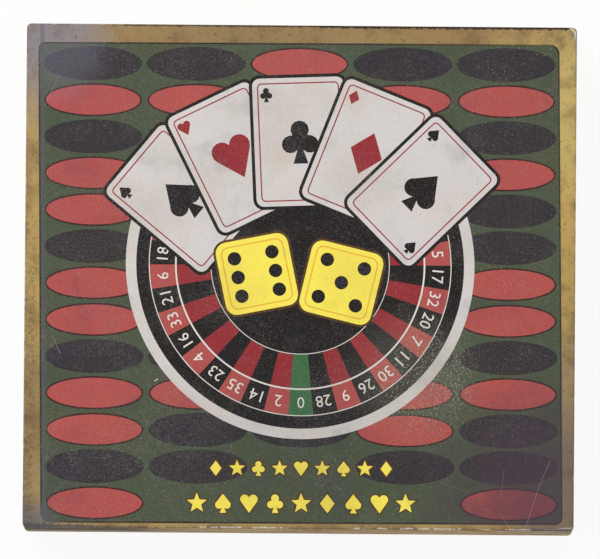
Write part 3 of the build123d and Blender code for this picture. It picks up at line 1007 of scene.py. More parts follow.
# %% [markdown]
# ## The lid's skin
#
# On the real lid one sheet of printed paper covers the top, folds over the four edges, runs down the walls
# and turns in over the rim. The skin is therefore one closed mesh. It starts with the triangulated face and
# grows by rings: a small round at the fold, the wall, the rim, and 30 mm of paper glued inside.
#
# The printer's picture is slightly out of square as well as askew, which shows as a border wider at one end
# than at the other. It is sheared and turned before it is triangulated.

# %% Triangulate the face
fold, corner_radius = 0.95, 2.5
paper, wall, turn_in = 0.3, 2.6, 30.0


def as_printed(outline):
    """An outline of the picture, out of square as the printer left it."""
    sheared = [(px - print_lean * py, py - print_slope * px) for px, py in outline]
    return turned(sheared, math.degrees(box_roll))


def ring_points(inset):
    return plate(face_half_x - inset, face_half_y - inset, max(corner_radius - inset, 0.25), 5)


picture = [(ink_name, as_printed(outline)) for ink_name, outline in layers]
printed_face = net(ring_points(fold), picture, "gold")
print(len(printed_face[1]), "printed triangles")

# %% Grow the walls from the face
quarter_turn = [math.radians(90 * k / 5) for k in range(6)]
profile = [(fold * (1 - math.sin(a)), top_mm - fold * (1 - math.cos(a))) for a in quarter_turn]
profile += [
    (0.0, rim_mm + paper / 2),
    (paper / 2, rim_mm),
    (wall - paper / 2, rim_mm),
    (wall, rim_mm + paper / 2),
    (wall, rim_mm + turn_in),
    (wall - paper, rim_mm + turn_in),
    (wall - paper, rim_mm + paper),
    (paper, rim_mm + paper),
    (paper, top_mm - paper),
]
bm = bmesh.new()
lay(bm, printed_face, ink_names, Matrix.Translation((0, 0, lid_top)) @ Matrix.Scale(mm, 4))
rings = [
    [bm.verts.new((px * mm, py * mm, level * mm)) for px, py in ring_points(inset)]
    for inset, level in profile
]
bridge(bm, rings)
bm.faces.new(rings[-1])
piece("lid_cover", closed(bm), inks.values(), "lid", "lid_print", "lid_wrap")

# %% [markdown]
# ## Board, lining and dark paper
#
# Greyboard is pressed waste paper: dull, grey-brown, flecked with darker fibres. The lid is lined with
# plain white paper. The base is covered in black paper embossed like cloth, which hides finger marks. These
# parts are flat sheets with small bevels, so their CAD meshes are good enough and only need a finish.

# %% Paper and board
def paper_finish(name, base, fibre, roughness, grain, fleck=0.25, emboss=0.0):
    """Cloudy paper flecked with fibres, and embossed like cloth where a scale of threads is given."""
    material, tree, shader, place = finish(name, base, roughness, Specular_IOR_Level=0.3)
    cloud = noise(tree, place, 30.0, 5.0)
    fibres = noise(tree, place, grain, 5.0, 0.7)
    colour = mix(tree, between(tree, cloud, 0.3, 0.75, 0.0, 0.35), base, fibre)
    paint(tree, shader, mix(tree, between(tree, fibres, 0.52, 0.7, 0.0, fleck), colour, fibre))
    height = fibres
    if emboss:
        threads = [waves(tree, place, emboss, 1.2, bands_direction=direction) for direction in "XY"]
        height = calc(tree, "MULTIPLY_ADD", fibres, 0.4, product(tree, *threads))
    raise_surface(tree, shader, height, 0.08 * mm, 0.6)
    return material


def dress(name, material, bevel=0.0):
    """Give a CAD node its finish, and a bevel modifier where its edges should catch light."""
    obj = nodes[name]
    obj.data.materials.clear()
    obj.data.materials.append(material)
    if bevel:
        edge = obj.modifiers.new("edge", "BEVEL")
        edge.width = bevel
        edge.segments = 2
        edge.limit_method = "ANGLE"
        edge.angle_limit = math.radians(35)
    print(f"{name}: CAD mesh in {material.name}")


greyboard = paper_finish("greyboard", shade(150, 143, 130), shade(112, 104, 92), 0.9, 500.0)
white_lining = paper_finish(
    "white lining paper", shade(228, 225, 216), shade(202, 197, 184), 0.8, 700.0, 0.15,
)
black_paper = paper_finish(
    "black embossed paper", shade(34, 33, 33), shade(58, 55, 52), 0.62, 300.0, 0.2, 95.0,
)
black_lining = paper_finish("black lining paper", shade(38, 37, 37), shade(54, 52, 50), 0.82, 600.0, 0.2)
for node_name, material in (
    ("lid_board", greyboard),
    ("base_board", greyboard),
    ("lid_liner", white_lining),
    ("base_liner", black_lining),
    ("base_wrap", black_paper),
):
    dress(node_name, material)

# %% [markdown]
# ## Metal
#
# The eye knows turned metal by fine scratches that run round the axis, and by a dull cloud of tarnish that
# moves against them. A wave texture in rings gives the scratches. It needs the axis, so the wheel's middle
# is measured first.

# %% Metal
def metal(name, colour, roughness, centre, tarnish=None):
    """Turned metal: fine rings about a vertical axis, small dents and cloudy tarnish."""
    material, tree, shader, place = finish(name, colour, roughness, 1.0)
    from_axis = vector(tree, "SUBTRACT", place, (*centre, 0))
    rings = waves(tree, from_axis, 900.0, 3.0, 3.0, 2.0, wave_type="RINGS", rings_direction="Z")
    cloud = noise(tree, place, 180.0, 5.0)
    tarnished = between(tree, cloud, 0.42, 0.75, 0.0, 0.55)
    rough = between(tree, cloud, 0.3, 0.75, roughness * 0.8, min(roughness * 1.9, 0.85))
    paint(
        tree,
        shader,
        mix(tree, tarnished, colour, tarnish or deeper(colour, 0.72)),
        calc(tree, "MULTIPLY_ADD", rings, 0.06, rough),
    )
    height = calc(tree, "MULTIPLY_ADD", rings, 0.35, noise(tree, place, 900.0, 2.0))
    raise_surface(tree, shader, height, 0.03 * mm, 0.45)
    return material


wheel_low, wheel_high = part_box("wheel_bowl")
wheel_middle = (wheel_low.x + wheel_high.x) / 2, (wheel_low.y + wheel_high.y) / 2
steel = metal("turned steel", shade(186, 188, 190), 0.28, wheel_middle)
chrome = metal("chromed zinc", shade(222, 222, 220), 0.14, wheel_middle, shade(168, 168, 166))
brass = metal("turned brass", shade(214, 176, 98), 0.22, wheel_middle, shade(156, 116, 58))
print("wheel stands at", [round(v / mm, 1) for v in wheel_middle], "mm")

# %% [markdown]
# ## Plastic and rubber
#
# Moulded plastic has an even fine grain, slight marbling and handling marks that change its gloss more than
# its colour. Where it imitates walnut it is printed with stretched growth rings and short dark pores, under
# a clear coat. Rubber is dull, and paler where it has been scuffed.

# %% Plastic and rubber
def plastic(name, colour, roughness, grain=1200.0, depth=0.03 * mm):
    """Moulded plastic: an even fine grain, slight marbling and faint handling marks."""
    material, tree, shader, place = finish(name, colour, roughness, Specular_IOR_Level=0.5)
    marbling = between(tree, noise(tree, place, 60.0, 4.0), 0.35, 0.7, 0.0, 0.7)
    marks = noise(tree, place, 240.0, 6.0, 0.7)
    rough = between(tree, marks, 0.3, 0.8, roughness * 0.8, roughness * 1.5)
    paint(tree, shader, mix(tree, marbling, colour, deeper(colour, 0.8)), rough)
    raise_surface(tree, shader, noise(tree, place, grain, 2.0), depth, 0.5)
    return material


def walnut_plastic(name):
    """Plastic printed like turned walnut: stretched rings and short dark pores along the grain."""
    gloss = {"Coat_Weight": 0.35, "Coat_Roughness": 0.12}
    material, tree, shader, place = finish(name, shade(92, 56, 34), 0.32, **gloss)
    stretched = add(tree, "ShaderNodeMapping", {"Vector": place, "Scale": (0.14, 1.0, 1.0)}).outputs[0]
    drawn_out = add(tree, "ShaderNodeMapping", {"Vector": place, "Scale": (0.09, 1.0, 1.0)}).outputs[0]
    waviness = noise(tree, stretched, 38.0, 4.0)
    figure = waves(tree, stretched, 46.0, 9.0, 4.0, 1.4, bands_direction="Y")
    pores = noise(tree, drawn_out, 1400.0, 2.0, 0.6)
    colour = mix(tree, figure, shade(112, 70, 42), shade(64, 36, 22))
    colour = mix(tree, between(tree, waviness, 0.35, 0.7, 0.0, 0.5), colour, shade(132, 88, 54))
    colour = mix(tree, between(tree, pores, 0.58, 0.68, 0.0, 0.6), colour, shade(38, 22, 14))
    paint(tree, shader, colour, between(tree, waviness, 0.3, 0.7, 0.26, 0.42))
    raise_surface(tree, shader, pores, 0.04 * mm, 0.35)
    return material


def rubber(name, colour):
    material, tree, shader, place = finish(name, colour, 0.85, Specular_IOR_Level=0.3)
    scuffs = noise(tree, place, 320.0, 6.0, 0.7)
    paler = tuple(v * 2.4 + 0.01 for v in colour[:3]) + (1.0,)
    scuffed_colour = mix(tree, between(tree, scuffs, 0.5, 0.72, 0.0, 0.5), colour, paler)
    paint(tree, shader, scuffed_colour, between(tree, scuffs, 0.3, 0.7, 0.75, 0.95))
    raise_surface(tree, shader, scuffs, 0.08 * mm, 0.5)
    return material


walnut = walnut_plastic("walnut plastic")
black_plastic = plastic("black plastic", shade(26, 25, 26), 0.34)
ivory = plastic("ivory plastic", shade(240, 236, 224), 0.16, 700.0, 0.01 * mm)
foot_rubber = rubber("foot rubber", shade(30, 30, 31))
print(len(bpy.data.materials), "materials so far")

# %% [markdown]
# ## Foam insert
#
# The insert is a sheet of soft black foam with wells cut through by a die. It is a sponge of cells less
# than a millimetre wide, and it has no sharp edges: the cut edges sink a little and round over. The piece
# takes the outline of the CAD insert, dissolves its flat triangles into whole faces, and rolls every rim by
# 0.8 mm.

# %% Foam
def foam_finish():
    material, tree, shader, place = finish("black foam", shade(30, 30, 32), 0.95, Specular_IOR_Level=0.15)
    small, large = cells(tree, place, 1500.0), cells(tree, place, 420.0)
    bloom = noise(tree, place, 26.0, 4.0)
    colour = mix(tree, between(tree, bloom, 0.35, 0.7, 0.0, 0.6), shade(27, 27, 29), shade(44, 44, 46))
    # Painted shade: the pits of the bump, small and large, are darkened
    pit_shade = product(tree, between(tree, small, 0.1, 0.55, 1.0, 0.0), 0.6)
    colour = mix(tree, pit_shade, colour, shade(10, 10, 11))
    colour = mix(tree, between(tree, large, 0.0, 0.18, 0.5, 0.0), colour, shade(8, 8, 9))
    paint(tree, shader, colour)
    height = calc(tree, "MULTIPLY_ADD", between(tree, large, 0.0, 0.2), 0.6, product(tree, small, 0.7))
    raise_surface(tree, shader, height, 0.25 * mm, 0.8)
    return material


rim_roll = 0.8 * mm
bm = bmesh.new()
bm.from_mesh(nodes["foam_insert"].data)
bmesh.ops.dissolve_limit(bm, angle_limit=math.radians(1), verts=bm.verts, edges=bm.edges)
rims = [e for e in bm.edges if len(e.link_faces) == 2 and e.calc_face_angle() > math.radians(40)]
bmesh.ops.bevel(bm, geom=rims, offset=rim_roll, segments=3, profile=0.5, affect="EDGES", clamp_overlap=True)
foam_block = piece("foam_block", closed(bm), [foam_finish()], "foam", "black_foam", "foam_insert", smooth=50)

# %% [markdown]
# ## Folded felt
#
# Under the foam lies the betting layout, a strip of green felt folded in a zig-zag to four layers. A path
# is drawn as seen from the front edge, turned back on itself at each fold, given the thickness of the
# cloth, and swept through its depth. So the folds are real and the cloth keeps its length.
#
# The print is worked out in the shader: cells bounded by white lines, each with a red or black oval.

# %% Folded paths
def folded_path(left, right, bottom, pitch, layers, wander):
    """Points (x, z) of a zig-zag, from the right end of its lowest layer."""
    path, bend = [], pitch / 2
    for index in range(layers):
        height = bottom + index * pitch
        ends = (right - random.uniform(0, wander), left + random.uniform(0, wander))
        start, end = ends if index % 2 == 0 else ends[::-1]
        if index:
            start = path[-1][0]
            turn = 1 if index % 2 == 0 else -1
            for step in range(1, 8):
                angle = math.radians(-90 + 180 * step / 8)
                path.append((start + turn * bend * math.cos(angle), height - bend + bend * math.sin(angle)))
        path += [(start, height), (end, height)]
    return path


def swept(path, thickness, low, high, stations=2):
    """A closed mesh from a path in the XZ plane, given a thickness and swept along Y."""
    sides = ([], [])
    for index, here in enumerate(path):
        before = Vector(path[max(index - 1, 0)])
        after = Vector(path[min(index + 1, len(path) - 1)])
        along = (after - before).normalized()
        across = Vector((-along.y, along.x)) * thickness / 2
        sides[0].append(Vector(here) + across)
        sides[1].append(Vector(here) - across)
    outline = sides[0] + sides[1][::-1]
    bm = bmesh.new()
    depths = [low + (high - low) * station / stations for station in range(stations + 1)]
    rings = [[bm.verts.new((p.x, depth, p.y)) for p in outline] for depth in depths]
    bridge(bm, rings)
    for ring in (rings[0], rings[-1]):
        for k in range(len(path) - 1):
            bm.faces.new((ring[k], ring[k + 1], ring[-k - 2], ring[-k - 1]))
    return closed(bm)


# %% Felt
def nearest_count(tree, value, pitch):
    """Which multiple of a pitch lies nearest to a length."""
    return calc(tree, "FLOOR", calc(tree, "ADD", calc(tree, "DIVIDE", value, pitch), 0.5))


def nearest_line(tree, value, pitch):
    """How far a length lies from the nearest multiple of a pitch."""
    share = calc(tree, "FRACT", calc(tree, "ADD", calc(tree, "DIVIDE", value, pitch), 0.5))
    return calc(tree, "MULTIPLY", calc(tree, "ABSOLUTE", calc(tree, "SUBTRACT", share, 0.5)), pitch)


def felt_finish(cell_x, cell_y):
    gloss = {"Sheen_Weight": 0.4, "Specular_IOR_Level": 0.2}
    material, tree, shader, place = finish("printed felt", shade(28, 92, 56), 0.95, **gloss)
    x, y, _ = add(tree, "ShaderNodeSeparateXYZ", {0: place}).outputs
    fibres = noise(tree, place, 2400.0, 4.0, 0.75)
    pile = between(tree, noise(tree, place, 90.0, 4.0), 0.3, 0.7)
    colour = mix(tree, pile, shade(22, 84, 50), shade(36, 102, 66))
    oval_x = calc(tree, "DIVIDE", nearest_line(tree, x, cell_x), cell_x * 0.36)
    oval_y = calc(tree, "DIVIDE", nearest_line(tree, y, cell_y), cell_y * 0.34)
    reach = calc(tree, "MULTIPLY_ADD", fibres, 0.06, diagonal(tree, oval_x, oval_y))
    number = calc(tree, "ADD", nearest_count(tree, x, cell_x), nearest_count(tree, y, cell_y))
    oval = mix(tree, calc(tree, "PINGPONG", number, 1.0), shade(150, 38, 40), shade(26, 25, 26))
    colour = mix(tree, between(tree, reach, 1.02, 1.05, 1.0, 0.0), colour, oval)
    away_x = nearest_line(tree, calc(tree, "ADD", x, cell_x / 2), cell_x)
    away_y = nearest_line(tree, calc(tree, "ADD", y, cell_y / 2), cell_y)
    away = calc(tree, "MULTIPLY_ADD", fibres, 0.3 * mm, calc(tree, "MINIMUM", away_x, away_y))
    colour = mix(tree, between(tree, away, 0.6 * mm, 0.9 * mm, 0.9, 0.0), colour, shade(224, 222, 208))
    paint(tree, shader, mix(tree, between(tree, fibres, 0.35, 0.7, 0.3, 0.0), colour, shade(12, 40, 24)))
    raise_surface(tree, shader, fibres, 0.2 * mm, 0.7)
    return material


random.seed(11)
mat_low, mat_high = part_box("layout_mat")
felt_layers, felt_wander = 4, 1.2 * mm
felt_pitch = (mat_high.z - mat_low.z) / felt_layers
felt_thickness = felt_pitch * 0.9
felt_end = (felt_pitch + felt_thickness) / 2
felt_ends = mat_low.x + felt_end, mat_high.x - felt_end
felt_path = folded_path(*felt_ends, mat_low.z + felt_pitch / 2, felt_pitch, felt_layers, felt_wander)
felt_mesh = swept(felt_path, felt_thickness, mat_low.y, mat_high.y, 4)
felt = felt_finish(46 * mm, 42 * mm)
folded_felt = piece("folded_felt", felt_mesh, [felt], "mat", "green_felt", "layout_mat")

# %% [markdown]
# ## Leaflet
#
# On the felt lies a small stapled leaflet, two folded sheets one inside the other. Each sheet is a path
# round the spine, swept in the same way as the felt. The printed cover needs only straight lines, so it
# comes from distances to the edge and to the middle, without a net.

# %% Leaflet
def leaflet_finish(half_x, half_y):
    """Coated paper with a printed cover: a green panel in a gold frame and a pale lozenge in its middle."""
    white_paper = shade(236, 233, 224)
    material, tree, shader, place = finish("leaflet paper", white_paper, 0.5, Specular_IOR_Level=0.4)
    x, y, _ = add(tree, "ShaderNodeSeparateXYZ", {0: place}).outputs
    across, along = calc(tree, "ABSOLUTE", x), calc(tree, "ABSOLUTE", y)
    from_side, from_end = calc(tree, "SUBTRACT", half_x, across), calc(tree, "SUBTRACT", half_y, along)
    edge = calc(tree, "MINIMUM", from_side, from_end)
    share_x = calc(tree, "DIVIDE", across, half_x * 0.62)
    share_y = calc(tree, "DIVIDE", along, half_y * 0.62)
    lozenge = calc(tree, "ADD", share_x, share_y)
    colour = mix(tree, between(tree, edge, 7.8 * mm, 8.2 * mm), white_paper, shade(182, 152, 92))
    colour = mix(tree, between(tree, edge, 11.8 * mm, 12.2 * mm), colour, shade(52, 84, 58))
    for start, end, tint in (
        (0.98, 1.0, (38, 34, 34)),
        (0.92, 0.94, (214, 208, 196)),
        (0.44, 0.46, (158, 50, 52)),
    ):
        colour = mix(tree, between(tree, lozenge, start, end, 1.0, 0.0), colour, shade(*tint))
    grain = noise(tree, place, 600.0, 4.0)
    creases = noise(tree, place, 24.0, 5.0)
    colour = mix(tree, between(tree, grain, 0.4, 0.75, 0.0, 0.16), colour, shade(120, 112, 98))
    paint(tree, shader, colour, between(tree, creases, 0.3, 0.7, 0.36, 0.6))
    raise_surface(tree, shader, calc(tree, "MULTIPLY_ADD", creases, 3.0, grain), 0.06 * mm, 0.6)
    return material


leaf_low, leaf_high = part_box("rules_leaflet")
leaf_pitch = (leaf_high.z - leaf_low.z) / 4
leaf_thickness = leaf_pitch * 0.85
leaves = []
for level in range(2):
    height = leaf_low.z + leaf_pitch * (level + 0.5)
    gap = leaf_pitch * (3 - 2 * level)
    fold_x = leaf_low.x + leaf_thickness / 2 + leaf_pitch * level
    open_x = leaf_high.x - level * 0.8 * mm
    bends = [math.pi * k / 8 for k in range(9)]
    spine = [(fold_x + gap / 2 * (1 - math.sin(a)), height + gap / 2 * (1 - math.cos(a))) for a in bends]
    path = [(open_x, height)] + spine + [(open_x, height + gap)]
    leaves.append(swept(path, leaf_thickness, leaf_low.y, leaf_high.y))
leaf_half = ((leaf_high - leaf_low) / 2).xy
piece("leaflet", joined(*leaves), [leaflet_finish(*leaf_half)], "mat", "leaflet_paper", "rules_leaflet")

# %% [markdown]
# ## Wheel bowl
#
# The bowl of a small roulette wheel is moulded and printed like turned walnut. From the rim inwards it has
# a rounded lip, a ball track with a small drop, a sloping apron, and a well in which the rotor turns. The
# profile is the CAD one with its edges rounded as a mould would leave them, and with a shallow bead under
# the lip.

# %% Bowl
seat, foot_top = (corner.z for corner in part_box("bowl_feet"))
foot_height, bowl_height = (foot_top - seat) / mm, (wheel_high.z - seat) / mm
bowl_radius = (wheel_high.x - wheel_low.x) / 2 / mm
lip_inner, track_inner, apron_inner = bowl_radius - 5, bowl_radius - 12, bowl_radius - 32
ring_edge, well_floor = 14.5, 5.0
bore, hub_radius = 3.1, 5.9


def on_seat(points):
    """A profile in metres from one in millimetres from the axis and from the wheel's seat."""
    return [(r * mm, seat + h * mm) for r, h in points]


def turned_piece(name, points, material, body, slot, node, rounding, segments=128, smooth=40):
    mesh = lathe(soften(on_seat(points), rounding * mm), wheel_middle, segments)
    return piece(name, mesh, [material], body, slot, node, smooth=smooth)


turned_piece("bowl", [
    (bore, foot_height + 2.0),
    (hub_radius, foot_height + 2.0),
    (hub_radius, foot_height),
    (bowl_radius - 24, foot_height),
    (bowl_radius - 0.4, bowl_height - 14.6),
    (bowl_radius, bowl_height - 13.4),
    (bowl_radius, bowl_height - 6.4),
    (bowl_radius - 0.7, bowl_height - 5.8),
    (bowl_radius - 0.7, bowl_height - 4.6),
    (bowl_radius, bowl_height - 4.0),
    (bowl_radius, bowl_height),
    (lip_inner, bowl_height),
    (lip_inner, bowl_height - 6),
    (track_inner, bowl_height - 10.5),
    (apron_inner, ring_edge),
    (apron_inner, well_floor),
    (bore, well_floor),
], walnut, "wheel", "walnut_plastic", "wheel_bowl", 1.4, segments=160)
for node_name, material, bevel in (
    ("ball_deflectors", chrome, 0.35),
    ("bowl_feet", foot_rubber, 0.3),
    ("spindle", steel, 0.25),
    ("spindle_nut", steel, 0.3),
    ("rotor_bush", brass, 0.2),
    ("pocket_frets", chrome, 0.16),
):
    dress(node_name, material, bevel * mm)

# %% [markdown]
# ## Rotor
#
# The rotor carries the ring of numbers and the pockets behind them. The order of the numbers is the
# traditional one of a wheel with two zeros. Each sector is red, black or green on the number ring and in
# its pocket, and two thin foil lines close the ring. The numerals stand a hair above the ring, with their
# tops outwards.

# %% Number ring and pockets
rotor_low, rotor_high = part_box("rotor_dish")
rotor_radius = (rotor_high.x - rotor_low.x) / 2 / mm
ring_width, ring_drop, corner, foil = 11.0, 1.8, 0.3, 0.5
ring_slope = ring_drop / ring_width
ring_foot, ring_low = rotor_radius - ring_width, ring_edge - ring_drop
pocket_inner, pocket_floor = ring_foot - 9.5, ring_low - 4.4
dish_bore, dish_low, dish_high = 5.05, 6.2, 11.5
foil_outer, foil_inner = rotor_radius - corner - foil, ring_foot + corner + foil
sector_finishes = {"body": black_plastic}
for name, tint in (("red", (150, 32, 34)), ("black", (22, 21, 22)), ("green", (28, 96, 54))):
    sector_finishes[name] = plastic(f"{name} enamel", shade(*tint), 0.24, 900.0, 0.02 * mm)
sector_finishes["foil"] = metal("gold foil", shade(212, 178, 104), 0.2, wheel_middle)
sector_names = list(sector_finishes)
dish = lathe(on_seat([
    (dish_bore, dish_low),
    (rotor_radius - 0.5, dish_low),
    (rotor_radius, dish_low + 0.5),
    (rotor_radius, ring_edge - corner),
    (rotor_radius - corner, ring_edge),
    (foil_outer, ring_edge - foil * ring_slope),
    (foil_inner, ring_low + foil * ring_slope),
    (ring_foot + corner, ring_low),
    (ring_foot, ring_low - corner),
    (ring_foot, pocket_floor + 0.4),
    (ring_foot - 0.4, pocket_floor),
    (pocket_inner, pocket_floor),
    (pocket_inner, dish_high),
    (dish_bore, dish_high),
]), wheel_middle, sector_total * 6)
for polygon in dish.polygons:
    where = polygon.center.xy - Vector(wheel_middle)
    radius, height = where.length / mm, (polygon.center.z - seat) / mm
    sector = round(math.degrees(math.atan2(where.y, where.x)) / sector_step) % sector_total
    chosen = "body"
    if pocket_floor - 0.01 < height < ring_edge and pocket_inner + 0.01 < radius < rotor_radius - 0.2:
        on_slope = height > ring_low - 0.02
        chosen = "foil" if on_slope and not foil_inner < radius < foil_outer else sector_colour(sector)
    polygon.material_index = sector_names.index(chosen)
piece("rotor", dish, sector_finishes.values(), "rotor", "rotor_plastic", "rotor_dish", smooth=35)

# %% Numerals
def cut_figures(text, height, thickness, place):
    """A closed mesh of a number, lying in the plane of the matrix and centred on its origin."""
    loops = [loop for loop, _ in figures(text, height)]
    points, triangles = triangulated(loops)
    bm = bmesh.new()
    low, high = (
        [bm.verts.new(place @ Vector((p.x, p.y, level))) for p in points]
        for level in (-thickness / 2, thickness / 2)
    )
    sides = set()
    for corners, middle in triangles:
        if sum(inside(middle, loop) for loop in loops) % 2 == 0:
            continue
        bm.faces.new([high[c] for c in corners])
        bm.faces.new([low[c] for c in reversed(corners)])
        for k, c in enumerate(corners):
            sides ^= {tuple(sorted((c, corners[(k + 1) % len(corners)])))}
    for a, b in sides:
        bm.faces.new((low[a], low[b], high[b], high[a]))
    bmesh.ops.delete(bm, geom=[v for v in bm.verts if not v.link_faces], context="VERTS")
    bmesh.ops.recalc_face_normals(bm, faces=bm.faces)
    return made(bm)


numeral_height, numeral_relief = 5.4, 0.16
on_ring = Matrix.Translation((0, (ring_foot + rotor_radius) / 2 * mm, (ring_edge + ring_low) / 2 * mm))
on_ring @= Matrix.Rotation(math.atan(ring_slope), 4, "X") @ Matrix.Scale(mm, 4)
wheel_place = Matrix.Translation((*wheel_middle, seat))
numerals = []
for index in range(sector_total):
    spot = wheel_place @ spun(index * sector_step - 90) @ on_ring
    numerals.append(cut_figures(numeral(index), numeral_height, numeral_relief, spot))
piece("rotor_numerals", joined(*numerals), [ivory], "rotor", "ball_white", smooth=20)

# %% [markdown]
# ## Cone and turret
#
# The cone hides the bush and throws the ball out into the pockets. It is spun from brass, a little hollow
# in its slope, with two fine grooves. The turret on it is what a player turns the wheel by: a column turned
# on a lathe, four arms with knobs, and a finial. All of it is chromed.

# %% Cone
cone_run, cone_hub = pocket_inner, 10.0
cone_low, cone_top, cone_sag = 12.7, 21.7, 0.7
cone_bore, groove_depth = 3.2, 0.3
cone_stations = (
    37.5, 35.5, 33.6, 33.3, 32.7, 32.4, 30, 27.5, 25, 22.5, 20, 17.6, 17.3, 16.7, 16.4, 14, 12, 10.6,
)
grooved = (33.3, 32.7, 17.3, 16.7)


def cone_height(radius):
    """The cone's slope, which sags in its middle and is cut by the grooves."""
    t = (cone_run - radius) / (cone_run - cone_hub)
    height = cone_low + (cone_top - cone_low) * t - cone_sag * math.sin(math.pi * t)
    return height - groove_depth if radius in grooved else height


turned_piece("cone", [
    (cone_bore, dish_high),
    (cone_run - 0.2, dish_high),
    (cone_run - 0.05, dish_high + 0.2),
    (cone_run - 0.05, cone_low - 0.1),
    *((radius, cone_height(radius)) for radius in cone_stations),
    (cone_hub - 0.1, cone_top),
    (cone_bore, cone_top),
], brass, "rotor", "turret_brass", "rotor_cone", 0.12, smooth=25)

# %% Column
crossing_low, crossing_top = 35.7, 38.3
turned_piece("column", [
    (0, cone_top),
    (7.9, cone_top),
    (7.9, 22.5),
    (6.2, 23.0),
    (4.2, 24.2),
    (3.1, 26.6),
    (2.7, 29.4),
    (3.0, 31.8),
    (3.6, 33.4),
    (4.5, 33.9),
    (4.5, 35.3),
    (3.4, crossing_low),
    (0, crossing_low),
], chrome, "rotor", "bright_metal", "turret_column", 0.6, segments=48, smooth=60)

# %% Arms and knobs
arm_level, arm_reach, knob_reach = 37.0, 19.0, 16.0
arm_profile = [
    (0, 0.0),
    (1.25, 0.2),
    (1.25, 5.4),
    (0.95, 6.2),
    (0.85, 10.0),
    (0.95, 12.4),
    (1.28, 13.2),
    (1.28, 17.4),
    (0.9, 18.6),
    (0, arm_reach),
]
knob_profile = [
    (0, 38.0),
    (1.5, 38.0),
    (1.2, 38.7),
    (2.2, 39.1),
    (2.95, 40.2),
    (2.5, 41.5),
    (1.2, 42.15),
    (0, 42.2),
]
crossing_profile = [
    (0, crossing_low),
    (4.3, crossing_low),
    (4.5, 36.4),
    (4.5, 37.6),
    (4.3, crossing_top),
    (0, crossing_top),
]


def four_times(profile, segments, place):
    """Four copies of a turned form, placed in millimetres on the turret and spread round it."""
    copies = []
    for index in range(4):
        copy = lathe(soften([(r * mm, h * mm) for r, h in profile], 0.5 * mm), (0, 0), segments)
        copy.transform(wheel_place @ spun(90 * index) @ place)
        copies.append(copy)
    return copies


arms = four_times(arm_profile, 24, Matrix.Translation((0, 0, arm_level * mm)) @ spun(90, "Y"))
knobs = four_times(knob_profile, 32, Matrix.Translation((knob_reach * mm, 0, 0)))
crossing = lathe(soften(on_seat(crossing_profile), 0.3 * mm), wheel_middle, 48)
piece("arms", joined(crossing, *arms), [chrome], "rotor", "bright_metal", "turret_arms", smooth=50)
piece("knobs", joined(*knobs), [chrome], "rotor", "bright_metal", "turret_knobs", smooth=60)

# %% Finial
turned_piece("finial", [
    (0, crossing_top),
    (4.0, crossing_top),
    (4.1, 39.2),
    (3.2, 40.0),
    (3.9, 40.7),
    (3.6, 41.5),
    (1.9, 42.4),
    (1.5, 43.2),
    (1.9, 44.2),
    (1.3, 45.6),
    (0.4, 46.25),
    (0, 46.3),
], chrome, "rotor", "bright_metal", "turret_finial", 0.5, segments=48, smooth=60)

# %% [markdown]
# ## Ball and chips
#
# The ball is a half circle on the lathe. The chips are struck zinc with enamel, the same on both faces: a
# beaded rim with eight coloured spots, a coloured ring, and a raised suit in a dull field. One lathe
# profile makes the body, the faces of its mesh are shared out among three finishes by their radius and
# angle, and the suit is a thin bevelled prism. Each chip in a stack is turned at random.

# %% Ball
ball_low, ball_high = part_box("roulette_ball")
ball_middle, ball_radius = (ball_low + ball_high) / 2, (ball_high.z - ball_low.z) / 2
half_turn = [math.pi * k / 24 for k in range(25)]
ball_profile = [(ball_radius * math.sin(a), ball_middle.z - ball_radius * math.cos(a)) for a in half_turn]
ball_mesh = lathe(ball_profile, ball_middle.xy, 48)
piece("ball", ball_mesh, [ivory], "ball", "ball_white", "roulette_ball", smooth=60)

# %% Chips
chip_low, chip_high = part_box("metal_chips")
chip_radius = (chip_high.y - chip_low.y) / 2 / mm
chip_thickness, chip_spacing = 3.5, 3.6
chips_high = 3
chip_pitch = (chip_high.z - chip_low.z) / mm / (chips_high - 1 + chip_thickness / chip_spacing)
field_edge, enamel_inner, enamel_outer, bead_inner = 13.0, 14.6, 17.6, 17.7
spot_pitch, spot_width = 45, 15
relief_top, relief_foot = 0.06, 0.3
chip_body = metal("struck zinc", shade(172, 168, 160), 0.34, (0, 0), shade(112, 106, 98))


def chip_finish(radius, angle):
    """0 for bare metal, 1 for enamel and 2 for the dull field."""
    spot = radius > bead_inner and angle % spot_pitch < spot_width
    if enamel_inner < radius < enamel_outer or spot:
        return 1
    return 2 if radius < field_edge else 0


def chip_mesh(bottom, spin, kind):
    """One chip. Its upper face is given as radii and depths in millimetres, and its lower face mirrors it."""
    half = chip_thickness / 2
    upper = [
        (0, 0.25),
        (13.2, 0.25),
        (13.5, 0.02),
        (14.4, 0.02),
        (14.6, 0.14),
        (17.6, 0.14),
        (17.8, 0.0),
        (19.3, 0.0),
        (19.8, 0.45),
    ]
    profile = [(r, depth - half) for r, depth in upper] + [(r, half - depth) for r, depth in reversed(upper)]
    body = lathe([(r * mm, (bottom + half + h) * mm) for r, h in profile])
    for polygon in body.polygons:
        where = polygon.center.xy
        polygon.material_index = chip_finish(where.length / mm, math.degrees(math.atan2(where.y, where.x)))
    relief = [(px * mm, py * mm) for px, py in (star(15.0) if kind == "star" else suit(kind, 13.0))]
    mirrored = [(-px, py) for px, py in relief][::-1]
    top = bottom + chip_thickness
    bevel = 0.05 * mm
    mark_up = prism(relief, (top - relief_foot) * mm, (top - relief_top) * mm, bevel)
    mark_down = prism(mirrored, (bottom + relief_top) * mm, (bottom + relief_foot) * mm, bevel)
    chip = joined(body, mark_up, mark_down)
    chip.transform(spun(spin))
    return chip


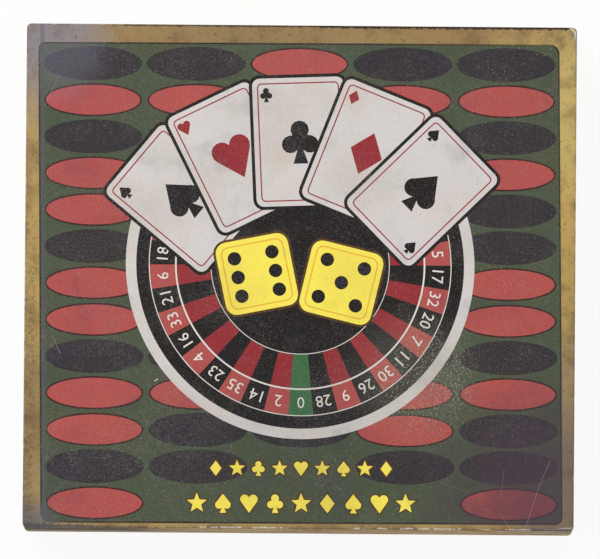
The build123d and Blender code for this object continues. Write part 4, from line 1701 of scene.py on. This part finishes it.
# %% Stacks of chips
stacks = (
    ("red", (156, 34, 36), "heart"),
    ("green", (32, 104, 62), "club"),
    ("blue", (34, 62, 128), "diamond"),
    ("black", (28, 27, 28), "spade"),
    ("white", (222, 218, 206), "star"),
)
stack_pitch = ((chip_high.x - chip_low.x) / mm - 2 * chip_radius) / (len(stacks) - 1)
random.seed(23)
for index, (name, tint, kind) in enumerate(stacks):
    enamel = plastic(f"{name} chip enamel", shade(*tint), 0.22, 800.0, 0.01 * mm)
    field = plastic(f"{name} chip field", deeper(shade(*tint), 0.55), 0.5, 2500.0, 0.06 * mm)
    bottoms = [chip_low.z / mm + level * chip_pitch for level in range(chips_high)]
    stack = joined(*(chip_mesh(bottom, random.uniform(0, 360), kind) for bottom in bottoms))
    middle = (chip_low.x + (chip_radius + index * stack_pitch) * mm, (chip_low.y + chip_high.y) / 2, 0)
    stack.transform(Matrix.Translation(middle))
    piece(f"{name}_chips", stack, [chip_body, enamel, field], "chips", "chip_metal", "metal_chips", smooth=35)

# %% [markdown]
# ## Cards
#
# A deck of 54 cards is never quite square, so each card is a thin prism of its own, shifted by a tenth of a
# millimetre. Only the top one shows its back: a lattice of lozenges in a double frame, as on any playing
# card. It is laid as a net on a closed slab.

# %% Backs of the cards
def slab(rim, layers, ground, names, bottom, top, place):
    """A flat closed piece with a picture on top. Heights are in millimetres, and the ground is its edge."""
    bm = bmesh.new()
    turn = Matrix.Translation((place[0] * mm, place[1] * mm, 0)) @ Matrix.Scale(mm, 4)
    lay(bm, net(rim, layers, ground), names, turn @ Matrix.Translation((0, 0, top)))
    low, high = ([bm.verts.new(turn @ Vector((px, py, z))) for px, py in rim] for z in (bottom, top))
    for side in [bm.faces.new(low[::-1])] + bridge(bm, (low, high)):
        side.material_index = names.index(ground)
    return closed(bm)


def card_back(half_x, half_y):
    """A lattice of lozenges in a double frame, which is the traditional back of a playing card."""
    inner = plate(half_x - 5.4, half_y - 5.4, 2.0, 3)
    outer = plate(half_x - 4, half_y - 4, 2.5, 3)
    layers = [("back", outer), ("line", inner), ("back", swollen(inner, -0.6))]
    step_x, step_y = 2.8, 3.2
    for row in range(-12, 13):
        for column in range(-9, 10):
            px, py = column * step_x, row * step_y
            if (row + column) % 2 or abs(px) > half_x - 9.2 or abs(py) > half_y - 9.6:
                continue
            for ink, wide, tall in (("line", 1.9, 2.2), ("back", 0.9, 1.1)):
                layers.append((ink, [(px + wide, py), (px, py + tall), (px - wide, py), (px, py - tall)]))
    return layers


# %% Decks
cards_in_deck = 54
card_shift_x, card_shift_y = 0.1, 0.18
for name, tint, seed in (("red", (150, 30, 36), 31), ("blue", (30, 52, 110), 37)):
    node_name = f"{name}_cards"
    low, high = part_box(node_name)
    middle, half = (low + high) / 2 / mm, (high - low) / 2 / mm
    bottom, pitch = low.z / mm, (high.z - low.z) / mm / cards_in_deck
    cut_edge = f"{node_name} card edge"
    finishes = {
        "edge": paper_finish(cut_edge, shade(232, 228, 216), shade(206, 200, 184), 0.6, 900.0, 0.2),
        "back": plastic(f"{node_name} card back", shade(*tint), 0.3, 1600.0, 0.02 * mm),
        "line": plastic(f"{node_name} card line", shade(236, 232, 222), 0.3, 1600.0, 0.02 * mm),
    }
    outline = plate(half.x - 0.15, half.y - 0.2, 3.4, 5)
    random.seed(seed)
    shifts = [
        (
            middle.x + random.uniform(-card_shift_x, card_shift_x),
            middle.y + random.uniform(-card_shift_y, card_shift_y),
        )
        for _ in range(cards_in_deck)
    ]
    cards = []
    for index, (shift_x, shift_y) in enumerate(shifts[:-1]):
        flat = [((px + shift_x) * mm, (py + shift_y) * mm) for px, py in outline]
        level = bottom + index * pitch
        cards.append(prism(flat, level * mm, (level + pitch * 0.94) * mm))
    back = card_back(half.x, half.y)
    cards.append(slab(outline, back, "edge", list(finishes), high.z / mm - pitch, high.z / mm, shifts[-1]))
    piece(f"{name}_deck", joined(*cards), finishes.values(), "cards", f"card_{name}", node_name)
dress("card_bands", paper_finish("band paper", shade(206, 188, 150), shade(168, 148, 108), 0.75, 500.0, 0.3))

# %% [markdown]
# ## Dice
#
# Casino dice are clear red acrylic with square edges, cut back by a hair, and white pips that are flush
# with the faces. So a pip is no hole: it is an ink in the net of its face. Six nets are closed with twelve
# narrow strips and eight small corners. Acrylic lets some light through and carries smears that show in its
# gloss.

# %% Acrylic and pips
def acrylic(name, colour):
    """Clear coloured acrylic, polished, with faint hazing that hands leave."""
    material, tree, shader, place = finish(name, colour, 0.06, Transmission_Weight=0.55, IOR=1.49)
    smears = noise(tree, place, 160.0, 5.0, 0.65)
    stained = mix(tree, between(tree, smears, 0.3, 0.7), colour, deeper(colour, 0.62))
    paint(tree, shader, stained, between(tree, smears, 0.4, 0.75, 0.04, 0.22))
    raise_surface(tree, shader, noise(tree, place, 500.0, 2.0), 0.01 * mm, 0.3)
    return material


die_finishes = {
    "clear": acrylic("red acrylic", shade(190, 20, 28)),
    "pip": plastic("white pips", shade(240, 238, 230), 0.25, 900.0, 0.01 * mm),
}
pip_radius, pip_spacing = 1.6, 4.3
die_faces = ((1, "Z", 0), (6, "X", 180), (2, "X", 90), (5, "X", -90), (3, "Y", 90), (4, "Y", -90))


def signs(count):
    """Every choice of minus and plus for a number of directions."""
    return itertools.product((-1, 1), repeat=count)


def die_mesh(half, edge, place):
    """A die with square edges cut back by a hair. Opposite faces add up to seven."""
    bm = bmesh.new()
    flat = half - edge
    rim = [(flat, flat), (-flat, flat), (-flat, -flat), (flat, -flat)]
    for count, axis, angle in die_faces:
        spots = [(px * pip_spacing, py * pip_spacing) for px, py in pip_places[count]]
        pips = [("pip", ellipse(spot, pip_radius, pip_radius, 24)) for spot in spots]
        turn = spun(angle, axis) @ Matrix.Translation((0, 0, half))
        lay(bm, net(rim, pips, "clear"), list(die_finishes), Matrix.Scale(mm, 4) @ turn)
    for axis in range(3):
        for s, t in signs(2):
            corners = []
            for level, along in ((half, -flat), (half, flat), (flat, flat), (flat, -flat)):
                point = Vector((0, 0, 0))
                point[axis] = along
                point[(axis + 1) % 3] = s * level
                point[(axis + 2) % 3] = t * (flat if level == half else half)
                corners.append(bm.verts.new(point * mm))
            bm.faces.new(corners)
    for sx, sy, sz in signs(3):
        sides = ((half, flat, flat), (flat, half, flat), (flat, flat, half))
        bm.faces.new([bm.verts.new(Vector((sx * a, sy * b, sz * c)) * mm) for a, b, c in sides])
    mesh = closed(bm)
    mesh.transform(place)
    return mesh


# %% Dice
dice_low, dice_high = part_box("precision_dice")
dice_columns, die_edge = 2, 0.3
die_half = (dice_high.z - dice_low.z) / 2
die_pitch = dice_high.x - dice_low.x - 2 * die_half
turns = (("X", 0), ("X", 90), ("Y", 90), ("X", 270), ("X", 180))
dice = []
for index, (axis, angle) in enumerate(turns):
    column, row = index % dice_columns, index // dice_columns
    spot = dice_low + Vector((die_half + column * die_pitch, die_half + row * die_pitch, die_half))
    dice.append(die_mesh(die_half / mm, die_edge, Matrix.Translation(spot) @ spun(angle, axis)))
piece("dice", joined(*dice), die_finishes.values(), "dice", "die_acrylic", "precision_dice", smooth=20)

# %% [markdown]
# ## Floor, light and camera
#
# Product photographs of flat boxes are taken from far above with soft light. The floor is white to the
# camera and still takes a faint shadow. The world gives even light and one large lamp adds a little
# direction.
#
# The camera stands 8 m away with a long lens, which is why the box shows no perspective. It stands a little
# towards the front, so a sliver of the front wall shows, and it is rolled by half a degree as in the
# photograph.

# %% Floor
scene = bpy.context.scene
scene.view_settings.view_transform = "Standard"


def seen_directly(tree):
    """1 for what is seen straight, mirrored or through glass, and 0 for light that falls on the box."""
    rays = add(tree, "ShaderNodeLightPath").outputs
    mirrored = calc(tree, "MAXIMUM", rays["Is Glossy Ray"], rays["Is Transmission Ray"])
    return calc(tree, "MAXIMUM", rays["Is Camera Ray"], mirrored)


floor_finish, tree, shader, _ = finish("studio floor", shade(250, 250, 250), 0.9, Specular_IOR_Level=0.1)
whitening = calc(tree, "MULTIPLY", seen_directly(tree), 0.92)
glow = add(tree, "ShaderNodeEmission", {"Color": (1, 1, 1, 1), "Strength": 1.0})
surface = add(tree, "ShaderNodeMixShader", {0: whitening, 1: shader.outputs[0], 2: glow.outputs[0]})
tree.links.new(surface.outputs[0], tree.nodes["Material Output"].inputs["Surface"])
floor_mesh = prism(plate(3.0, 3.0, 0.2, 4), -0.02, 0.0)
floor_mesh.materials.append(floor_finish)
studio_floor = bpy.data.objects.new("studio_floor", floor_mesh)
scene.collection.objects.link(studio_floor)

# %% Light
ambient = 0.62
scene.world = bpy.data.worlds.new("studio")
scene.world.use_nodes = True
tree = scene.world.node_tree
background = tree.nodes["Background"]
background.inputs["Color"].default_value = (1, 1, 1, 1)
strength = calc(tree, "MULTIPLY_ADD", seen_directly(tree), 1.0 - ambient, ambient)
tree.links.new(strength, background.inputs["Strength"])

lamp_data = bpy.data.lights.new("softbox", "AREA")
lamp_data.shape = "RECTANGLE"
lamp_data.size = 1.6
lamp_data.size_y = 1.2
lamp_data.energy = 26.0
softbox = bpy.data.objects.new("softbox", lamp_data)
softbox.location = (-0.9, 1.1, 1.7)
softbox.rotation_euler = (Vector((0, 0, 0)) - softbox.location).to_track_quat("-Z", "Y").to_euler()
scene.collection.objects.link(softbox)
print("ambient light", ambient, "and a lamp of", lamp_data.energy, "W")

# %% Camera
height_above, front_lean, view_width = 8.0, 0.046, 326.9 * mm
camera_data = bpy.data.cameras.new("camera")
camera = bpy.data.objects.new("camera", camera_data)
scene.collection.objects.link(camera)
scene.camera = camera
stand = Vector((0, -(face_half_y * mm + front_lean * height_above), lid_top + height_above))
toward = Vector((0, -1.4 * mm, lid_top)) - stand
aimed = toward.to_track_quat("-Z", "Y").to_matrix().to_4x4()
camera.matrix_world = Matrix.Translation(stand) @ aimed @ Matrix.Rotation(box_roll, 4, "Z")
camera_data.sensor_width = 36.0
camera_data.lens = camera_data.sensor_width * toward.length / view_width
camera_data.clip_end = 100.0
print("lens", round(camera_data.lens, 1), "mm at", round(toward.length, 3), "m")
